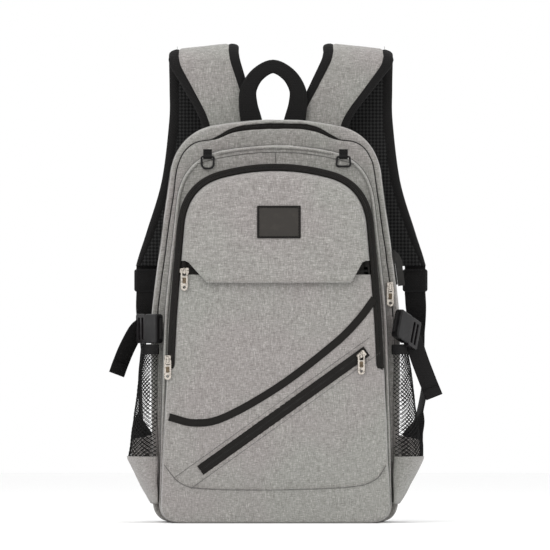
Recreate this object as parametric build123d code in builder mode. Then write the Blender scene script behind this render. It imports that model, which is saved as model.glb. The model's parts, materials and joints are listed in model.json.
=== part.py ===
"""A soft laptop backpack with a charging port: shells, zips, buckles, straps and their fits.

Units are millimetres. +Z is up and the front of the bag faces -Y. The origin is the centre of
the flat underside, so the bag stands on z = 0. "Left" is the -X side.
"""
import os
from math import atan2, cos, degrees, hypot, radians, sin
from typing import NamedTuple

from build123d import *

os.makedirs("parts", exist_ok=True)


class Arch(NamedTuple):
    """Front view of one layer of the bag: a flat base, leaning sides and a crowned top."""

    base_half: float
    waist_half: float
    waist_z: float
    shoulder_half: float
    shoulder_z: float
    crown_z: float
    base_radius: float
    shoulder_radius: float


# ---------------------------------------------------------------- driving dimensions
REAR = Arch(146.0, 148.0, 249.0, 119.0, 463.0, 481.0, 40.0, 45.0)
FRONT = Arch(139.0, 132.0, 248.0, 112.0, 431.0, 450.0, 36.0, 40.0)
POCKET = Arch(137.0, 125.0, 250.0, 112.0, 402.0, 428.0, 33.0, 40.0)
waist_blend = 150.0

rear_depth = 85.0
front_depth = 45.0
pocket_depth = 40.0
back_y = (rear_depth + front_depth + pocket_depth) / 2

shell_wall = 3.0
panel_thickness = 2.5
front_panel_thickness = 8.0
clearance = 0.3
fold_clearance = 1.0

# main compartment furniture
board_thickness = 3.0
divider_thickness = 3.0
divider_height = 330.0
laptop_depth = 24.0
pad_thickness = 8.0
pad_width = 92.0
pad_height = 330.0
pad_base_z = 65.0
pad_gap = 24.0
pad_radius = 26.0
board_gap = 2.0

# zips
tape_thickness = 1.5
main_tape_width = 5.0
main_tape_inset = 4.0
main_tape_foot_z = 245.0
arch_tape_width = 4.0
arch_tape_foot_z = 184.0
fold_z = 270.0
piping_width = 3.5
piping_depth = 3.0
diagonal_foot = (-88.7, 63.0)
diagonal_head = (107.7, 204.0)
diagonal_width = 12.0
flap_zip_z = 300.0
flap_zip_width = 9.0
flap_zip_end_gap = 4.0

# trim on the front
swoosh_width = 9.0
swoosh_thickness = 1.0
swoosh_foot_z = 126.0
swoosh_dip = (-96.0, 119.0)
swoosh_turn = (-60.0, 126.0)
swoosh_rise = (70.0, 213.0)
swoosh_head_z = 262.0
patch_width = 52.0
patch_height = 39.0
patch_thickness = 1.6
patch_corner = 1.0
patch_centre = (4.0, 358.0)

# storm flap over the upper zip
flap_stand_off = 5.6
flap_thickness = 1.8
flap_hinge_z = 312.0
flap_edge_z = 285.6
flap_edge_left = -81.5
flap_edge_right = 90.0
flap_side_drop = 5.0
outer_layer_inset = 9.0

# zip sliders and pulls
slider_length = 11.0
slider_width = 8.0
slider_base = 2.2
slider_nose = 0.7
slider_corner = 1.4
slider_edge = 0.5
bridge_width = 2.6
bridge_length = 7.6
bridge_height = 2.8
tunnel_length = 4.4
tunnel_height = 2.1
pull_bar_radius = 0.6
pull_width = 8.6
pull_length = 27.0
pull_shoulder = 2.5
pull_thickness = 1.2
pull_window_width = 4.4
pull_window_length = 5.6
pull_window_corner = 0.8
pull_hole_radius = 1.6
diagonal_slider_at = 235.0
pocket_slider_z = 194.0
slider_overhang = 0.6
main_slider_z = 281.0
flap_slider_x = -108.5

# D-rings on the front shoulder
ring_bar = 14.6
ring_corner = 1.6
ring_wire_radius = 1.2
ring_shapes = {"left": (14.0, 7.0, 5.6), "right": (11.5, 8.6, 2.8)}
ring_tab_width = 10.4
ring_tab_height = 9.0
ring_tab_wall = 1.1
ring_x = 81.0
ring_hinge_z = 436.0

# carry handle
handle_x = -3.0
handle_width = 22.0
handle_thickness = 4.0
handle_half_foot = 36.0
handle_half_span = 41.0
handle_spring_z = 518.0
handle_crest_z = 553.0
handle_set_back = 4.0
handle_lift = 1.3
handle_crest_waist = 3.0

# shoulder straps
strap_thickness = 12.0
strap_crest_z = 570.0
strap_crest_radius = 13.0
strap_root_z = 432.0
strap_end_z = 304.0
strap_set_back = 14.0
strap_shift = {"left": 0.0, "right": 13.0}
strap_shoulder_z = 556.0
strap_crest_span = (47.0, 127.0)
strap_rise = ((28.0, 95.0, 480.0), (24.0, 92.0, strap_root_z))
strap_fall = ((50.0, 128.0, 480.0), (62.0, 137.0, 408.0), (88.0, 155.0, 349.0), (136.0, 170.0, strap_end_z))
strap_web_width = 25.0
strap_web_thickness = 2.0
strap_web_centre = {"left": (149.0, 156.0, 160.0), "right": (163.0, 174.0, 163.0)}
anchor_z = 84.0
anchor_height = 26.0
anchor_thickness = 3.0
anchor_root_half = 118.0
anchor_reach = 173.0
web_bend_z = 190.0
web_kick = 26.0
web_kick_z = 128.0
web_mid_z = 176.0
web_bend_radius = 14.0

# ladder locks at the strap ends
lock_width = 30.0
lock_height = 27.0
lock_thickness = 4.4
lock_bar = 4.0
lock_gap = 4.2
lock_top_z = 302.0
lock_half = 155.0
lock_slots = 3
lock_corner = 3.0
lock_slot_corner = 1.0
lock_edge = 0.8

# side bottle pockets
section_seam_y = pocket_depth - back_y
bottle_rear_y = back_y - 6.0
bottle_front_y = section_seam_y + 4.0
bottle_mid_y = bottle_front_y + rear_depth - 29.0
bottle_front_half = FRONT.base_half + 0.6
bottle_rear_half = REAR.waist_half + 1.5
bottle_hem_reach = 160.0
bottle_base_reach = 177.0
bottle_foot_reach = 153.0
bottle_foot_rear_half = REAR.base_half + 1.0
bottle_foot_mid_half = REAR.base_half - 1.4
bottle_foot_z = 24.0
bottle_base_z = 77.0
bottle_hem_z = 200.0
bottle_hem_height = 12.0
net_thickness = 1.6
hem_thickness = 2.4
base_cloth = 2.0

# side-release buckles
buckle_height = 35.0
buckle_thickness = 10.0
housing_start = 4.0
housing_length = 28.0
cavity_depth = 22.0
cavity_half = 12.5
cavity_thickness = 6.0
buckle_gap = 1.0
clip_length = 22.0
clip_thickness = 7.0
prong_length = 20.0
prong_half = 11.5
prong_thickness = 4.4
prong_width = 4.4
prong_corner = 1.5
prong_spine = 3.0
housing_corner = 4.0
housing_edge = 2.0
release_window = 10.0
release_inset = 2.0
ladder_slots = (6.5, 14.5)
ladder_slot_length = 4.4
ladder_slot_corner = 1.0
clip_corner = 3.0
clip_edge = 0.7
web_width = 25.0
web_thickness = 1.8
compression_start = (157.0, section_seam_y + 56.0)
compression_turn_y = section_seam_y + 85.0
compression_stand_off = 1.6
buckle_turn = 30.7
buckle_origin = {
    "left": (136.0, section_seam_y + 1.0, 231.0),
    "right": (142.5, section_seam_y - 2.0, 240.0),
}
buckle_drop = {"left": 0.0, "right": 20.0}
tail_width = 24.0
tail_thickness = 2.0
tail_start = {"left": (166.5, 226.0), "right": (174.5, 214.0)}
tail_end = {"left": (191.0, 178.0), "right": (197.0, 148.0)}
tail_y = {"left": section_seam_y + 51.2, "right": section_seam_y + 46.4}

# charging port on the right side
usb_z = 303.0
usb_y = 35.0
usb_plate_length = 40.0
usb_plate_width = 24.0
usb_plate_thickness = 3.0
usb_socket_width = 13.2
usb_socket_height = 5.7
usb_socket_wall = 0.4
usb_socket_depth = 12.0
usb_cover_length = 44.0
usb_cover_width = 21.0
usb_cover_rise = 8.2
usb_plate_corner = 4.0
usb_socket_back = 1.5


# ---------------------------------------------------------------- derived places
section_y = back_y - rear_depth
front_y = section_y - front_depth
face_y = front_y - pocket_depth
panel_back_y = face_y + front_panel_thickness
rim = arch_tape_width + fold_clearance
outer_face_y = face_y - flap_stand_off - flap_thickness
sides = {"left": -1, "right": 1}


def facing(y):
    """Upright plane at y that looks towards the front, so a positive extrude goes to -Y."""
    return Plane.XZ.offset(-y)


def side_half(arch, z):
    """Half width of an arch's side at a height, ignoring its rounded corners."""
    if z < arch.waist_z:
        return arch.base_half + (arch.waist_half - arch.base_half) * z / arch.waist_z
    share = (z - arch.waist_z) / (arch.shoulder_z - arch.waist_z)
    return arch.waist_half + (arch.shoulder_half - arch.waist_half) * share


def side_lean(arch):
    """Unit direction (x, z) of the arch's upper right side, going up."""
    run = arch.shoulder_half - arch.waist_half
    rise = arch.shoulder_z - arch.waist_z
    size = hypot(run, rise)
    return run / size, rise / size


def arch_face(arch, y, inset=0.0):
    """Face of an arch on the plane at y, drawn in by inset all round."""
    with BuildSketch(facing(y)) as face:
        with BuildLine():
            Polyline(
                (-arch.shoulder_half, arch.shoulder_z),
                (-arch.waist_half, arch.waist_z),
                (-arch.base_half, 0),
                (arch.base_half, 0),
                (arch.waist_half, arch.waist_z),
                (arch.shoulder_half, arch.shoulder_z),
            )
            ThreePointArc(
                (-arch.shoulder_half, arch.shoulder_z),
                (0, arch.crown_z),
                (arch.shoulder_half, arch.shoulder_z),
            )
        make_face()
        corners = face.vertices().group_by(Axis.Y)
        fillet(corners[0], arch.base_radius)
        fillet(face.vertices().filter_by(lambda v: abs(v.Y - arch.waist_z) < 0.01), waist_blend)
        fillet(face.vertices().filter_by(lambda v: abs(v.Y - arch.shoulder_z) < 0.01),
               arch.shoulder_radius)
        if inset:
            offset(amount=-inset, mode=Mode.REPLACE)
    return face.sketch


def slab(z_low, z_high):
    """A wide upright block between two heights, for trimming layers."""
    with BuildPart() as block:
        with BuildSketch(Plane.XY.offset(z_low)):
            Rectangle(4 * REAR.base_half, 4 * REAR.base_half)
        extrude(amount=z_high - z_low)
    return block.part


def keep(piece, name):
    """Label one finished piece and write it as its own file."""
    piece.part.label = name
    export_step(piece.part, f"parts/{name}.step")


# ---------------------------------------------------------------- rear section
def hoop(arch, y, depth, wall):
    """Closed wall of an arch: a gusset that runs all round one section."""
    with BuildPart() as ring:
        extrude(arch_face(arch, y), amount=depth)
        extrude(arch_face(arch, y, wall), amount=depth, mode=Mode.SUBTRACT)
    return ring


usb_half = side_half(REAR, usb_z)
lean_x, lean_z = side_lean(REAR)
usb_plane = Plane(origin=(usb_half, usb_y, usb_z), x_dir=(lean_x, 0, lean_z), z_dir=(lean_z, 0, -lean_x))

rear_hoop = hoop(REAR, back_y - panel_thickness, rear_depth - 2 * panel_thickness, shell_wall)
with BuildPart() as rear_gusset:
    add(rear_hoop.part)
    with BuildSketch(usb_plane.offset(-2 * shell_wall)):
        Rectangle(usb_socket_height + 2 * clearance, usb_socket_width + 2 * clearance)
    extrude(amount=3 * shell_wall, mode=Mode.SUBTRACT)
keep(rear_gusset, "rear_gusset")

with BuildPart() as back_panel:
    extrude(arch_face(REAR, back_y), amount=panel_thickness)
keep(back_panel, "back_panel")

with BuildPart() as main_front_panel:
    extrude(arch_face(REAR, section_y + panel_thickness), amount=panel_thickness)
keep(main_front_panel, "main_front_panel")

inner_back_y = back_y - panel_thickness
inner_front_y = section_y + panel_thickness
with BuildPart() as base_board:
    with BuildSketch(Plane.XY.offset(shell_wall)):
        with Locations((0, (inner_back_y + inner_front_y) / 2)):
            Rectangle(2 * (REAR.base_half - REAR.base_radius), inner_back_y - inner_front_y - board_gap)
    extrude(amount=board_thickness)
keep(base_board, "base_board")

divider_y = inner_back_y - laptop_depth
with BuildPart() as laptop_divider:
    extrude(arch_face(REAR, divider_y, shell_wall + clearance), amount=divider_thickness)
    add(slab(shell_wall + board_thickness, divider_height), mode=Mode.INTERSECT)
keep(laptop_divider, "laptop_divider")

for side, sign in sides.items():
    with BuildPart() as back_pad:
        with BuildSketch(facing(back_y)):
            with Locations((sign * (pad_gap + pad_width) / 2, pad_base_z + pad_height / 2)):
                RectangleRounded(pad_width, pad_height, pad_radius)
        extrude(amount=-pad_thickness)
        fillet(back_pad.faces().sort_by(Axis.Y)[-1].edges(), pad_thickness / 2)
    keep(back_pad, f"back_pad_{side}")


# ---------------------------------------------------------------- front section
front_gusset = hoop(FRONT, section_y, front_depth - panel_thickness, shell_wall)
keep(front_gusset, "front_gusset")

with BuildPart() as front_section_panel:
    extrude(arch_face(FRONT, front_y + panel_thickness), amount=panel_thickness)
keep(front_section_panel, "front_section_panel")

with BuildPart() as front_piping:
    extrude(arch_face(FRONT, front_y), amount=piping_depth)
    extrude(arch_face(FRONT, front_y, piping_width), amount=piping_depth, mode=Mode.SUBTRACT)
    extrude(arch_face(POCKET, front_y), amount=piping_depth, mode=Mode.SUBTRACT)
    add(slab(POCKET.base_radius, FRONT.crown_z), mode=Mode.INTERSECT)
    with BuildSketch(facing(front_y)):
        with Locations((-ring_x, ring_hinge_z), (ring_x, ring_hinge_z)):
            Rectangle(ring_bar + 4 * ring_wire_radius + 2 * clearance, 4 * ring_tab_height)
    extrude(amount=piping_depth, mode=Mode.SUBTRACT)
keep(front_piping, "front_piping")

pocket_gusset = hoop(POCKET, front_y, pocket_depth - front_panel_thickness, shell_wall)
keep(pocket_gusset, "pocket_gusset")


# ---------------------------------------------------------------- zip tapes round the sections
with BuildPart() as main_zip_tape:
    extrude(arch_face(REAR, section_y, main_tape_inset), amount=tape_thickness)
    extrude(arch_face(REAR, section_y, main_tape_inset + main_tape_width), amount=tape_thickness,
            mode=Mode.SUBTRACT)
    add(slab(main_tape_foot_z, REAR.crown_z), mode=Mode.INTERSECT)
keep(main_zip_tape, "main_zip_tape")

arch_tape_depth = front_panel_thickness - fold_clearance
with BuildPart() as arch_zip_tape:
    extrude(arch_face(POCKET, panel_back_y), amount=arch_tape_depth)
    extrude(arch_face(POCKET, panel_back_y, arch_tape_width), amount=arch_tape_depth, mode=Mode.SUBTRACT)
    add(slab(arch_tape_foot_z, POCKET.crown_z), mode=Mode.INTERSECT)
keep(arch_zip_tape, "arch_zip_tape")


# ---------------------------------------------------------------- front panel, below the fold
diagonal_run = diagonal_head[0] - diagonal_foot[0]
diagonal_rise = diagonal_head[1] - diagonal_foot[1]
diagonal_length = hypot(diagonal_run, diagonal_rise)
diagonal_angle = degrees(atan2(diagonal_rise, diagonal_run))
diagonal_mid = ((diagonal_foot[0] + diagonal_head[0]) / 2, (diagonal_foot[1] + diagonal_head[1]) / 2)


def diagonal_strip(depth):
    """Slanted strip of the welt zip, let into the front face by depth."""
    with BuildPart() as strip:
        with BuildSketch(facing(face_y + depth)):
            with Locations(Location(diagonal_mid, diagonal_angle)):
                Rectangle(diagonal_length, diagonal_width)
        extrude(amount=depth)
    return strip


with BuildPart() as front_panel_lower:
    extrude(arch_face(POCKET, panel_back_y, rim), amount=front_panel_thickness)
    extrude(arch_face(POCKET, panel_back_y), amount=front_panel_thickness)
    add(slab(0, arch_tape_foot_z - clearance), mode=Mode.INTERSECT)
    extrude(arch_face(POCKET, panel_back_y, rim), amount=front_panel_thickness)
    add(slab(0, fold_z - clearance), mode=Mode.INTERSECT)
    add(diagonal_strip(tape_thickness).part, mode=Mode.SUBTRACT)
keep(front_panel_lower, "front_panel_lower")

diagonal_zip_tape = diagonal_strip(tape_thickness)
keep(diagonal_zip_tape, "diagonal_zip_tape")

swoosh_foot = (-side_half(POCKET, swoosh_foot_z) + swoosh_width / 2, swoosh_foot_z)
swoosh_head = (side_half(POCKET, swoosh_head_z) - rim - swoosh_width / 2, swoosh_head_z)
with BuildPart() as swoosh_tape:
    with BuildSketch(facing(face_y)):
        with BuildLine():
            Spline(swoosh_foot, swoosh_dip, swoosh_turn, swoosh_rise, swoosh_head)
        trace(line_width=swoosh_width)
    extrude(amount=swoosh_thickness)
keep(swoosh_tape, "swoosh_tape")


# ---------------------------------------------------------------- front panel, above the fold
flap_zip_half = side_half(POCKET, flap_zip_z) - rim - flap_zip_end_gap


def flap_zip_strip(depth):
    """Level strip of the zip under the storm flap."""
    with BuildPart() as strip:
        with BuildSketch(facing(face_y + depth)):
            with Locations((0, flap_zip_z)):
                Rectangle(2 * flap_zip_half, flap_zip_width)
        extrude(amount=depth)
    return strip


with BuildPart() as front_panel_upper:
    extrude(arch_face(POCKET, panel_back_y, rim), amount=front_panel_thickness)
    add(slab(fold_z + clearance, POCKET.crown_z), mode=Mode.INTERSECT)
    add(flap_zip_strip(tape_thickness).part, mode=Mode.SUBTRACT)
with BuildPart() as outer_layer:
    extrude(arch_face(POCKET, face_y, outer_layer_inset), amount=face_y - outer_face_y)
    add(slab(flap_hinge_z + clearance, POCKET.crown_z), mode=Mode.INTERSECT)
with BuildPart() as upper_panel:
    add(front_panel_upper.part)
    add(outer_layer.part)
keep(upper_panel, "front_panel_upper")

flap_zip_tape = flap_zip_strip(tape_thickness)
keep(flap_zip_tape, "flap_zip_tape")

flap_root_half = side_half(POCKET, flap_hinge_z) - outer_layer_inset
flap_side_z = flap_hinge_z - flap_side_drop
with BuildPart() as flap:
    with BuildSketch(facing(outer_face_y + flap_thickness)):
        with BuildLine():
            Polyline(
                (-flap_root_half, flap_hinge_z - clearance),
                (-flap_root_half, flap_side_z),
                (flap_edge_left, flap_edge_z),
                (flap_edge_right, flap_edge_z),
                (flap_root_half, flap_side_z),
                (flap_root_half, flap_hinge_z - clearance),
                close=True,
            )
        make_face()
    extrude(amount=flap_thickness)
keep(flap, "storm_flap")

with BuildPart() as patch:
    with BuildSketch(facing(outer_face_y)):
        with Locations(patch_centre):
            RectangleRounded(patch_width, patch_height, patch_corner)
    extrude(amount=patch_thickness)
    chamfer(patch.faces().sort_by(Axis.Y)[0].edges(), patch_thickness / 4)
keep(patch, "label_patch")


# ---------------------------------------------------------------- zip sliders and pulls
def slider_plane(x, y, z):
    """Plane on a tape's face, with its x across the bag and its z out of the face."""
    return Plane(origin=(x, y, z), x_dir=(1, 0, 0), z_dir=(0, -1, 0))


def make_slider(plane, heading):
    """Slider body that runs along heading (degrees in the face), with an upright bridge."""
    nose = slider_width * slider_nose
    turn = radians(heading)
    along = plane.x_dir * cos(turn) + plane.y_dir * sin(turn)
    with BuildPart() as slider:
        with BuildSketch(Plane(origin=plane.origin, x_dir=along, z_dir=plane.z_dir)):
            with BuildLine():
                Polyline(
                    (-slider_length / 2, -nose / 2),
                    (slider_length / 2, -slider_width / 2),
                    (slider_length / 2, slider_width / 2),
                    (-slider_length / 2, nose / 2),
                    close=True,
                )
            make_face()
            fillet(vertices(), slider_corner)
        extrude(amount=slider_base)
        fillet(slider.faces().sort_by(Axis.Y)[0].edges(), slider_edge)
        with BuildSketch(plane.offset(slider_base)):
            SlotOverall(bridge_length, bridge_width, rotation=90)
        extrude(amount=bridge_height)
        with BuildSketch(plane.offset(slider_base)):
            Rectangle(2 * bridge_width, tunnel_length)
        extrude(amount=tunnel_height, mode=Mode.SUBTRACT)
    return slider


def make_pull(plane):
    """Pull tab that hangs from a bar through the bridge's tunnel."""
    level = slider_base + tunnel_height / 2
    tab_top = pull_bar_radius
    arm = (pull_width - pull_window_width) / 2
    with BuildPart() as pull:
        with BuildSketch(plane.offset(level - pull_thickness / 2)):
            with Locations((0, tab_top + pull_shoulder - pull_length / 2)):
                SlotOverall(pull_length, pull_width, rotation=90)
            with Locations((0, -pull_bar_radius - pull_window_length / 2)):
                RectangleRounded(pull_window_width, pull_window_length, pull_window_corner,
                                 mode=Mode.SUBTRACT)
            with Locations((0, tab_top)):
                Rectangle(2 * pull_width, 2 * arm, align=(Align.CENTER, Align.MIN), mode=Mode.SUBTRACT)
            with Locations((0, tab_top + pull_shoulder - pull_length + pull_width / 2)):
                Circle(pull_hole_radius, mode=Mode.SUBTRACT)
        extrude(amount=pull_thickness)
    return pull


diagonal_slider_x = diagonal_foot[0] + diagonal_run * diagonal_slider_at / diagonal_length
diagonal_slider_z = diagonal_foot[1] + diagonal_rise * diagonal_slider_at / diagonal_length
pocket_slider_x = -side_half(POCKET, pocket_slider_z) - slider_overhang
main_slider_x = side_half(REAR, main_slider_z) - main_tape_inset - main_tape_width / 2
pocket_heading = degrees(atan2(POCKET.waist_z, POCKET.base_half - POCKET.waist_half))
main_heading = degrees(atan2(lean_z, lean_x))
zip_places = {
    "flap": (flap_slider_x, face_y, flap_zip_z, 0.0),
    "diagonal": (diagonal_slider_x, face_y, diagonal_slider_z, diagonal_angle),
    "pocket": (pocket_slider_x, face_y + fold_clearance, pocket_slider_z, pocket_heading),
    "main": (main_slider_x, section_y - tape_thickness, main_slider_z, main_heading),
}
for zip_name, (x, y, z, heading) in zip_places.items():
    place = slider_plane(x, y, z)
    keep(make_slider(place, heading), f"{zip_name}_slider")
    keep(make_pull(place), f"{zip_name}_pull")


# ---------------------------------------------------------------- D-rings on webbing tabs
ring_y = front_y - ring_tab_wall - ring_wire_radius - clearance
for side, sign in sides.items():
    ring_plane = Plane(origin=(sign * ring_x, ring_y, ring_hinge_z), x_dir=(1, 0, 0), z_dir=(0, -1, 0))
    half_bar = ring_bar / 2
    drop, foot_half, corner = ring_shapes[side]
    with BuildPart() as d_ring:
        with BuildLine(ring_plane):
            wire = FilletPolyline((-half_bar, 0), (half_bar, 0), (foot_half, -drop), (-foot_half, -drop),
                                  radius=(ring_corner, ring_corner, corner, corner), close=True)
        with BuildSketch(Plane(origin=wire @ 0, z_dir=wire % 0)):
            Circle(ring_wire_radius)
        sweep()
    keep(d_ring, f"d_ring_{side}")
    channel = ring_wire_radius + clearance
    with BuildPart() as ring_tab:
        with BuildSketch(Plane.YZ.offset(sign * ring_x - ring_tab_width / 2)):
            with Locations((ring_y, ring_hinge_z)):
                Circle(channel + ring_tab_wall)
            with Locations((front_y, ring_hinge_z)):
                Rectangle(2 * ring_tab_wall, ring_tab_height, align=(Align.MAX, Align.MIN))
            with Locations((ring_y, ring_hinge_z)):
                Circle(channel, mode=Mode.SUBTRACT)
        extrude(amount=ring_tab_width)
    keep(ring_tab, f"ring_tab_{side}")


# ---------------------------------------------------------------- carry handle
handle_y = back_y - handle_set_back
handle_foot_z = REAR.crown_z + handle_lift
inner_foot = handle_half_foot - handle_width
inner_span = handle_half_span - handle_width
with BuildPart() as carry_handle:
    with BuildSketch(facing(handle_y)):
        with BuildLine():
            Line((handle_x - handle_half_foot, handle_foot_z),
                 (handle_x - handle_half_span, handle_spring_z))
            ThreePointArc((handle_x - handle_half_span, handle_spring_z), (handle_x, handle_crest_z),
                          (handle_x + handle_half_span, handle_spring_z))
            Polyline(
                (handle_x + handle_half_span, handle_spring_z),
                (handle_x + handle_half_foot, handle_foot_z),
                (handle_x + inner_foot, handle_foot_z),
                (handle_x + inner_span, handle_spring_z),
            )
            ThreePointArc((handle_x + inner_span, handle_spring_z),
                          (handle_x, handle_crest_z - handle_width + handle_crest_waist),
                          (handle_x - inner_span, handle_spring_z))
            Polyline(
                (handle_x - inner_span, handle_spring_z),
                (handle_x - inner_foot, handle_foot_z),
                (handle_x - handle_half_foot, handle_foot_z),
            )
        make_face()
    extrude(amount=handle_thickness)
keep(carry_handle, "carry_handle")


# ---------------------------------------------------------------- shoulder straps
strap_front_y = back_y + clearance
crest_y = strap_front_y + strap_thickness + strap_crest_radius
crest_centre_z = strap_crest_z - strap_thickness - strap_crest_radius
fall_y = crest_y + strap_crest_radius


def strap_outline(side, rising):
    """Corners (x, z) of a strap's half from the front, down its outer edge and up its inner one."""
    shift = strap_shift[side]
    inner, outer = strap_crest_span
    crest = (inner + shift, outer + shift, strap_crest_z + clearance)
    if rising:
        rows = [crest, (inner + shift, outer + shift, strap_shoulder_z), *strap_rise]
    else:
        rows = [crest, *((inner + shift, outer + shift, z) for inner, outer, z in strap_fall)]
    return [(outer, z) for _, outer, z in rows] + [(inner, z) for inner, _, z in reversed(rows)]


def strap_half(side, sign, rising):
    """One half of a shoulder strap: its side profile cut to its outline from the front."""
    way = -1 if rising else 1
    lean = 0.0 if rising else strap_set_back
    end_z = strap_root_z if rising else strap_end_z
    inner_radius = strap_crest_radius
    outer_radius = strap_crest_radius + strap_thickness
    inner_side = crest_y + way * inner_radius
    outer_side = crest_y + way * outer_radius
    across = cos(radians(45))
    with BuildPart() as half:
        with BuildSketch(Plane.YZ.offset(-2 * REAR.base_half)):
            with BuildLine():
                Line((crest_y, crest_centre_z + outer_radius), (crest_y, crest_centre_z + inner_radius))
                ThreePointArc((crest_y, crest_centre_z + inner_radius),
                              (crest_y + way * inner_radius * across,
                               crest_centre_z + inner_radius * across),
                              (inner_side, crest_centre_z))
                Polyline((inner_side, crest_centre_z), (inner_side + lean, end_z),
                         (outer_side + lean, end_z), (outer_side, crest_centre_z))
                ThreePointArc((outer_side, crest_centre_z),
                              (crest_y + way * outer_radius * across,
                               crest_centre_z + outer_radius * across),
                              (crest_y, crest_centre_z + outer_radius))
            make_face()
        extrude(amount=4 * REAR.base_half)
        with BuildSketch(facing(2 * back_y)):
            with BuildLine():
                Polyline([(sign * x, z) for x, z in strap_outline(side, rising)], close=True)
            make_face()
        extrude(amount=4 * back_y, mode=Mode.INTERSECT)
    return half


lock_y = fall_y + strap_set_back + strap_thickness / 2
for side, sign in sides.items():
    rise = strap_half(side, sign, True)
    fall = strap_half(side, sign, False)
    with BuildPart() as shoulder_strap:
        add(rise.part)
        add(fall.part)
    keep(shoulder_strap, f"shoulder_strap_{side}")

    lock_x = sign * (lock_half + strap_shift[side])
    with BuildPart() as ladder_lock:
        with BuildSketch(facing(lock_y + lock_thickness / 2)):
            with Locations((lock_x, lock_top_z - lock_height / 2)):
                RectangleRounded(lock_width, lock_height, lock_corner)
            slot_width = lock_width - 2 * lock_bar
            for row in range(lock_slots):
                slot_z = lock_top_z - lock_bar - lock_gap / 2 - row * (lock_gap + lock_bar)
                with Locations((lock_x, slot_z)):
                    RectangleRounded(slot_width, lock_gap, lock_slot_corner, mode=Mode.SUBTRACT)
        extrude(amount=lock_thickness)
        fillet(ladder_lock.faces().sort_by(Axis.Y)[0].outer_wire().edges(), lock_edge)
        fillet(ladder_lock.faces().sort_by(Axis.Y)[-1].outer_wire().edges(), lock_edge)
    keep(ladder_lock, f"ladder_lock_{side}")

    web_top_z = lock_top_z - lock_height - 2 * clearance
    web_foot_y = back_y + anchor_thickness + strap_web_thickness / 2
    top_x, mid_x, foot_x = strap_web_centre[side]
    half_web = strap_web_width / 2
    foot_z = anchor_z - anchor_height / 2
    with BuildPart() as strap_webbing:
        with BuildSketch(Plane.YZ.offset(-2 * REAR.base_half)):
            with BuildLine():
                FilletPolyline(
                    (lock_y, web_top_z), (lock_y, web_bend_z),
                    (web_foot_y + web_kick, web_kick_z),
                    (web_foot_y, anchor_z + anchor_height / 2), (web_foot_y, foot_z),
                    radius=web_bend_radius,
                )
            trace(line_width=strap_web_thickness)
        extrude(amount=4 * REAR.base_half)
        with BuildSketch(facing(2 * back_y)):
            with BuildLine():
                Polyline(
                    (sign * (top_x - half_web), web_top_z), (sign * (top_x + half_web), web_top_z),
                    (sign * (mid_x + half_web), web_mid_z), (sign * (foot_x + half_web), anchor_z),
                    (sign * (foot_x + half_web), foot_z), (sign * (foot_x - half_web), foot_z),
                    (sign * (foot_x - half_web), anchor_z), (sign * (mid_x - half_web), web_mid_z),
                    close=True,
                )
            make_face()
        extrude(amount=4 * back_y, mode=Mode.INTERSECT)
    keep(strap_webbing, f"strap_webbing_{side}")

    with BuildPart() as strap_anchor:
        with BuildSketch(facing(back_y + anchor_thickness)):
            with BuildLine():
                Polyline(
                    (sign * anchor_root_half, anchor_z + anchor_height),
                    (sign * anchor_root_half, anchor_z - anchor_height),
                    (sign * anchor_reach, anchor_z - anchor_height / 2),
                    (sign * anchor_reach, anchor_z + anchor_height / 2),
                    close=True,
                )
            make_face()
        extrude(amount=anchor_thickness)
    keep(strap_anchor, f"strap_anchor_{side}")


# ---------------------------------------------------------------- side bottle pockets
def pocket_level(sign, z, reach, thickness, rear_half=bottle_rear_half):
    """Crescent section of a bottle pocket's wall at one height, bulging out to reach."""
    front = (sign * bottle_front_half, bottle_front_y)
    rear = (sign * rear_half, bottle_rear_y)
    with BuildSketch(Plane.XY.offset(z)) as level:
        with BuildLine():
            ThreePointArc((front[0] + sign * thickness, front[1]), (sign * reach, bottle_mid_y),
                          (rear[0] + sign * thickness, rear[1]))
            Line((rear[0] + sign * thickness, rear[1]), rear)
            ThreePointArc(rear, (sign * (reach - thickness), bottle_mid_y), front)
            Line(front, (front[0] + sign * thickness, front[1]))
        make_face()
    return level.sketch


def pocket_floor(sign, thickness):
    """Floor of a bottle pocket, from the body's side out to the wall's foot."""
    front = (sign * bottle_front_half, bottle_front_y)
    rear = (sign * bottle_foot_rear_half, bottle_rear_y)
    with BuildPart() as floor:
        with BuildSketch(Plane.XY.offset(bottle_foot_z - thickness)):
            with BuildLine():
                ThreePointArc((front[0] + sign * thickness, front[1]),
                              (sign * bottle_foot_reach, bottle_mid_y),
                              (rear[0] + sign * thickness, rear[1]))
                Polyline((rear[0] + sign * thickness, rear[1]), rear,
                         (sign * bottle_foot_mid_half, section_y), front,
                         (front[0] + sign * thickness, front[1]))
            make_face()
        extrude(amount=thickness)
    return floor


for side, sign in sides.items():
    with BuildPart() as mesh_pocket:
        loft([pocket_level(sign, bottle_base_z, bottle_base_reach, net_thickness),
              pocket_level(sign, bottle_hem_z, bottle_hem_reach, net_thickness)], ruled=True)
    keep(mesh_pocket, f"mesh_pocket_{side}")

    with BuildPart() as pocket_hem:
        extrude(pocket_level(sign, bottle_hem_z, bottle_hem_reach, hem_thickness), amount=bottle_hem_height)
    keep(pocket_hem, f"pocket_hem_{side}")

    foot = pocket_level(sign, bottle_foot_z, bottle_foot_reach, base_cloth, bottle_foot_rear_half)
    with BuildPart() as pocket_base:
        loft([foot, pocket_level(sign, bottle_base_z, bottle_base_reach, base_cloth)], ruled=True)
        add(pocket_floor(sign, base_cloth).part)
    keep(pocket_base, f"pocket_base_{side}")


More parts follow.
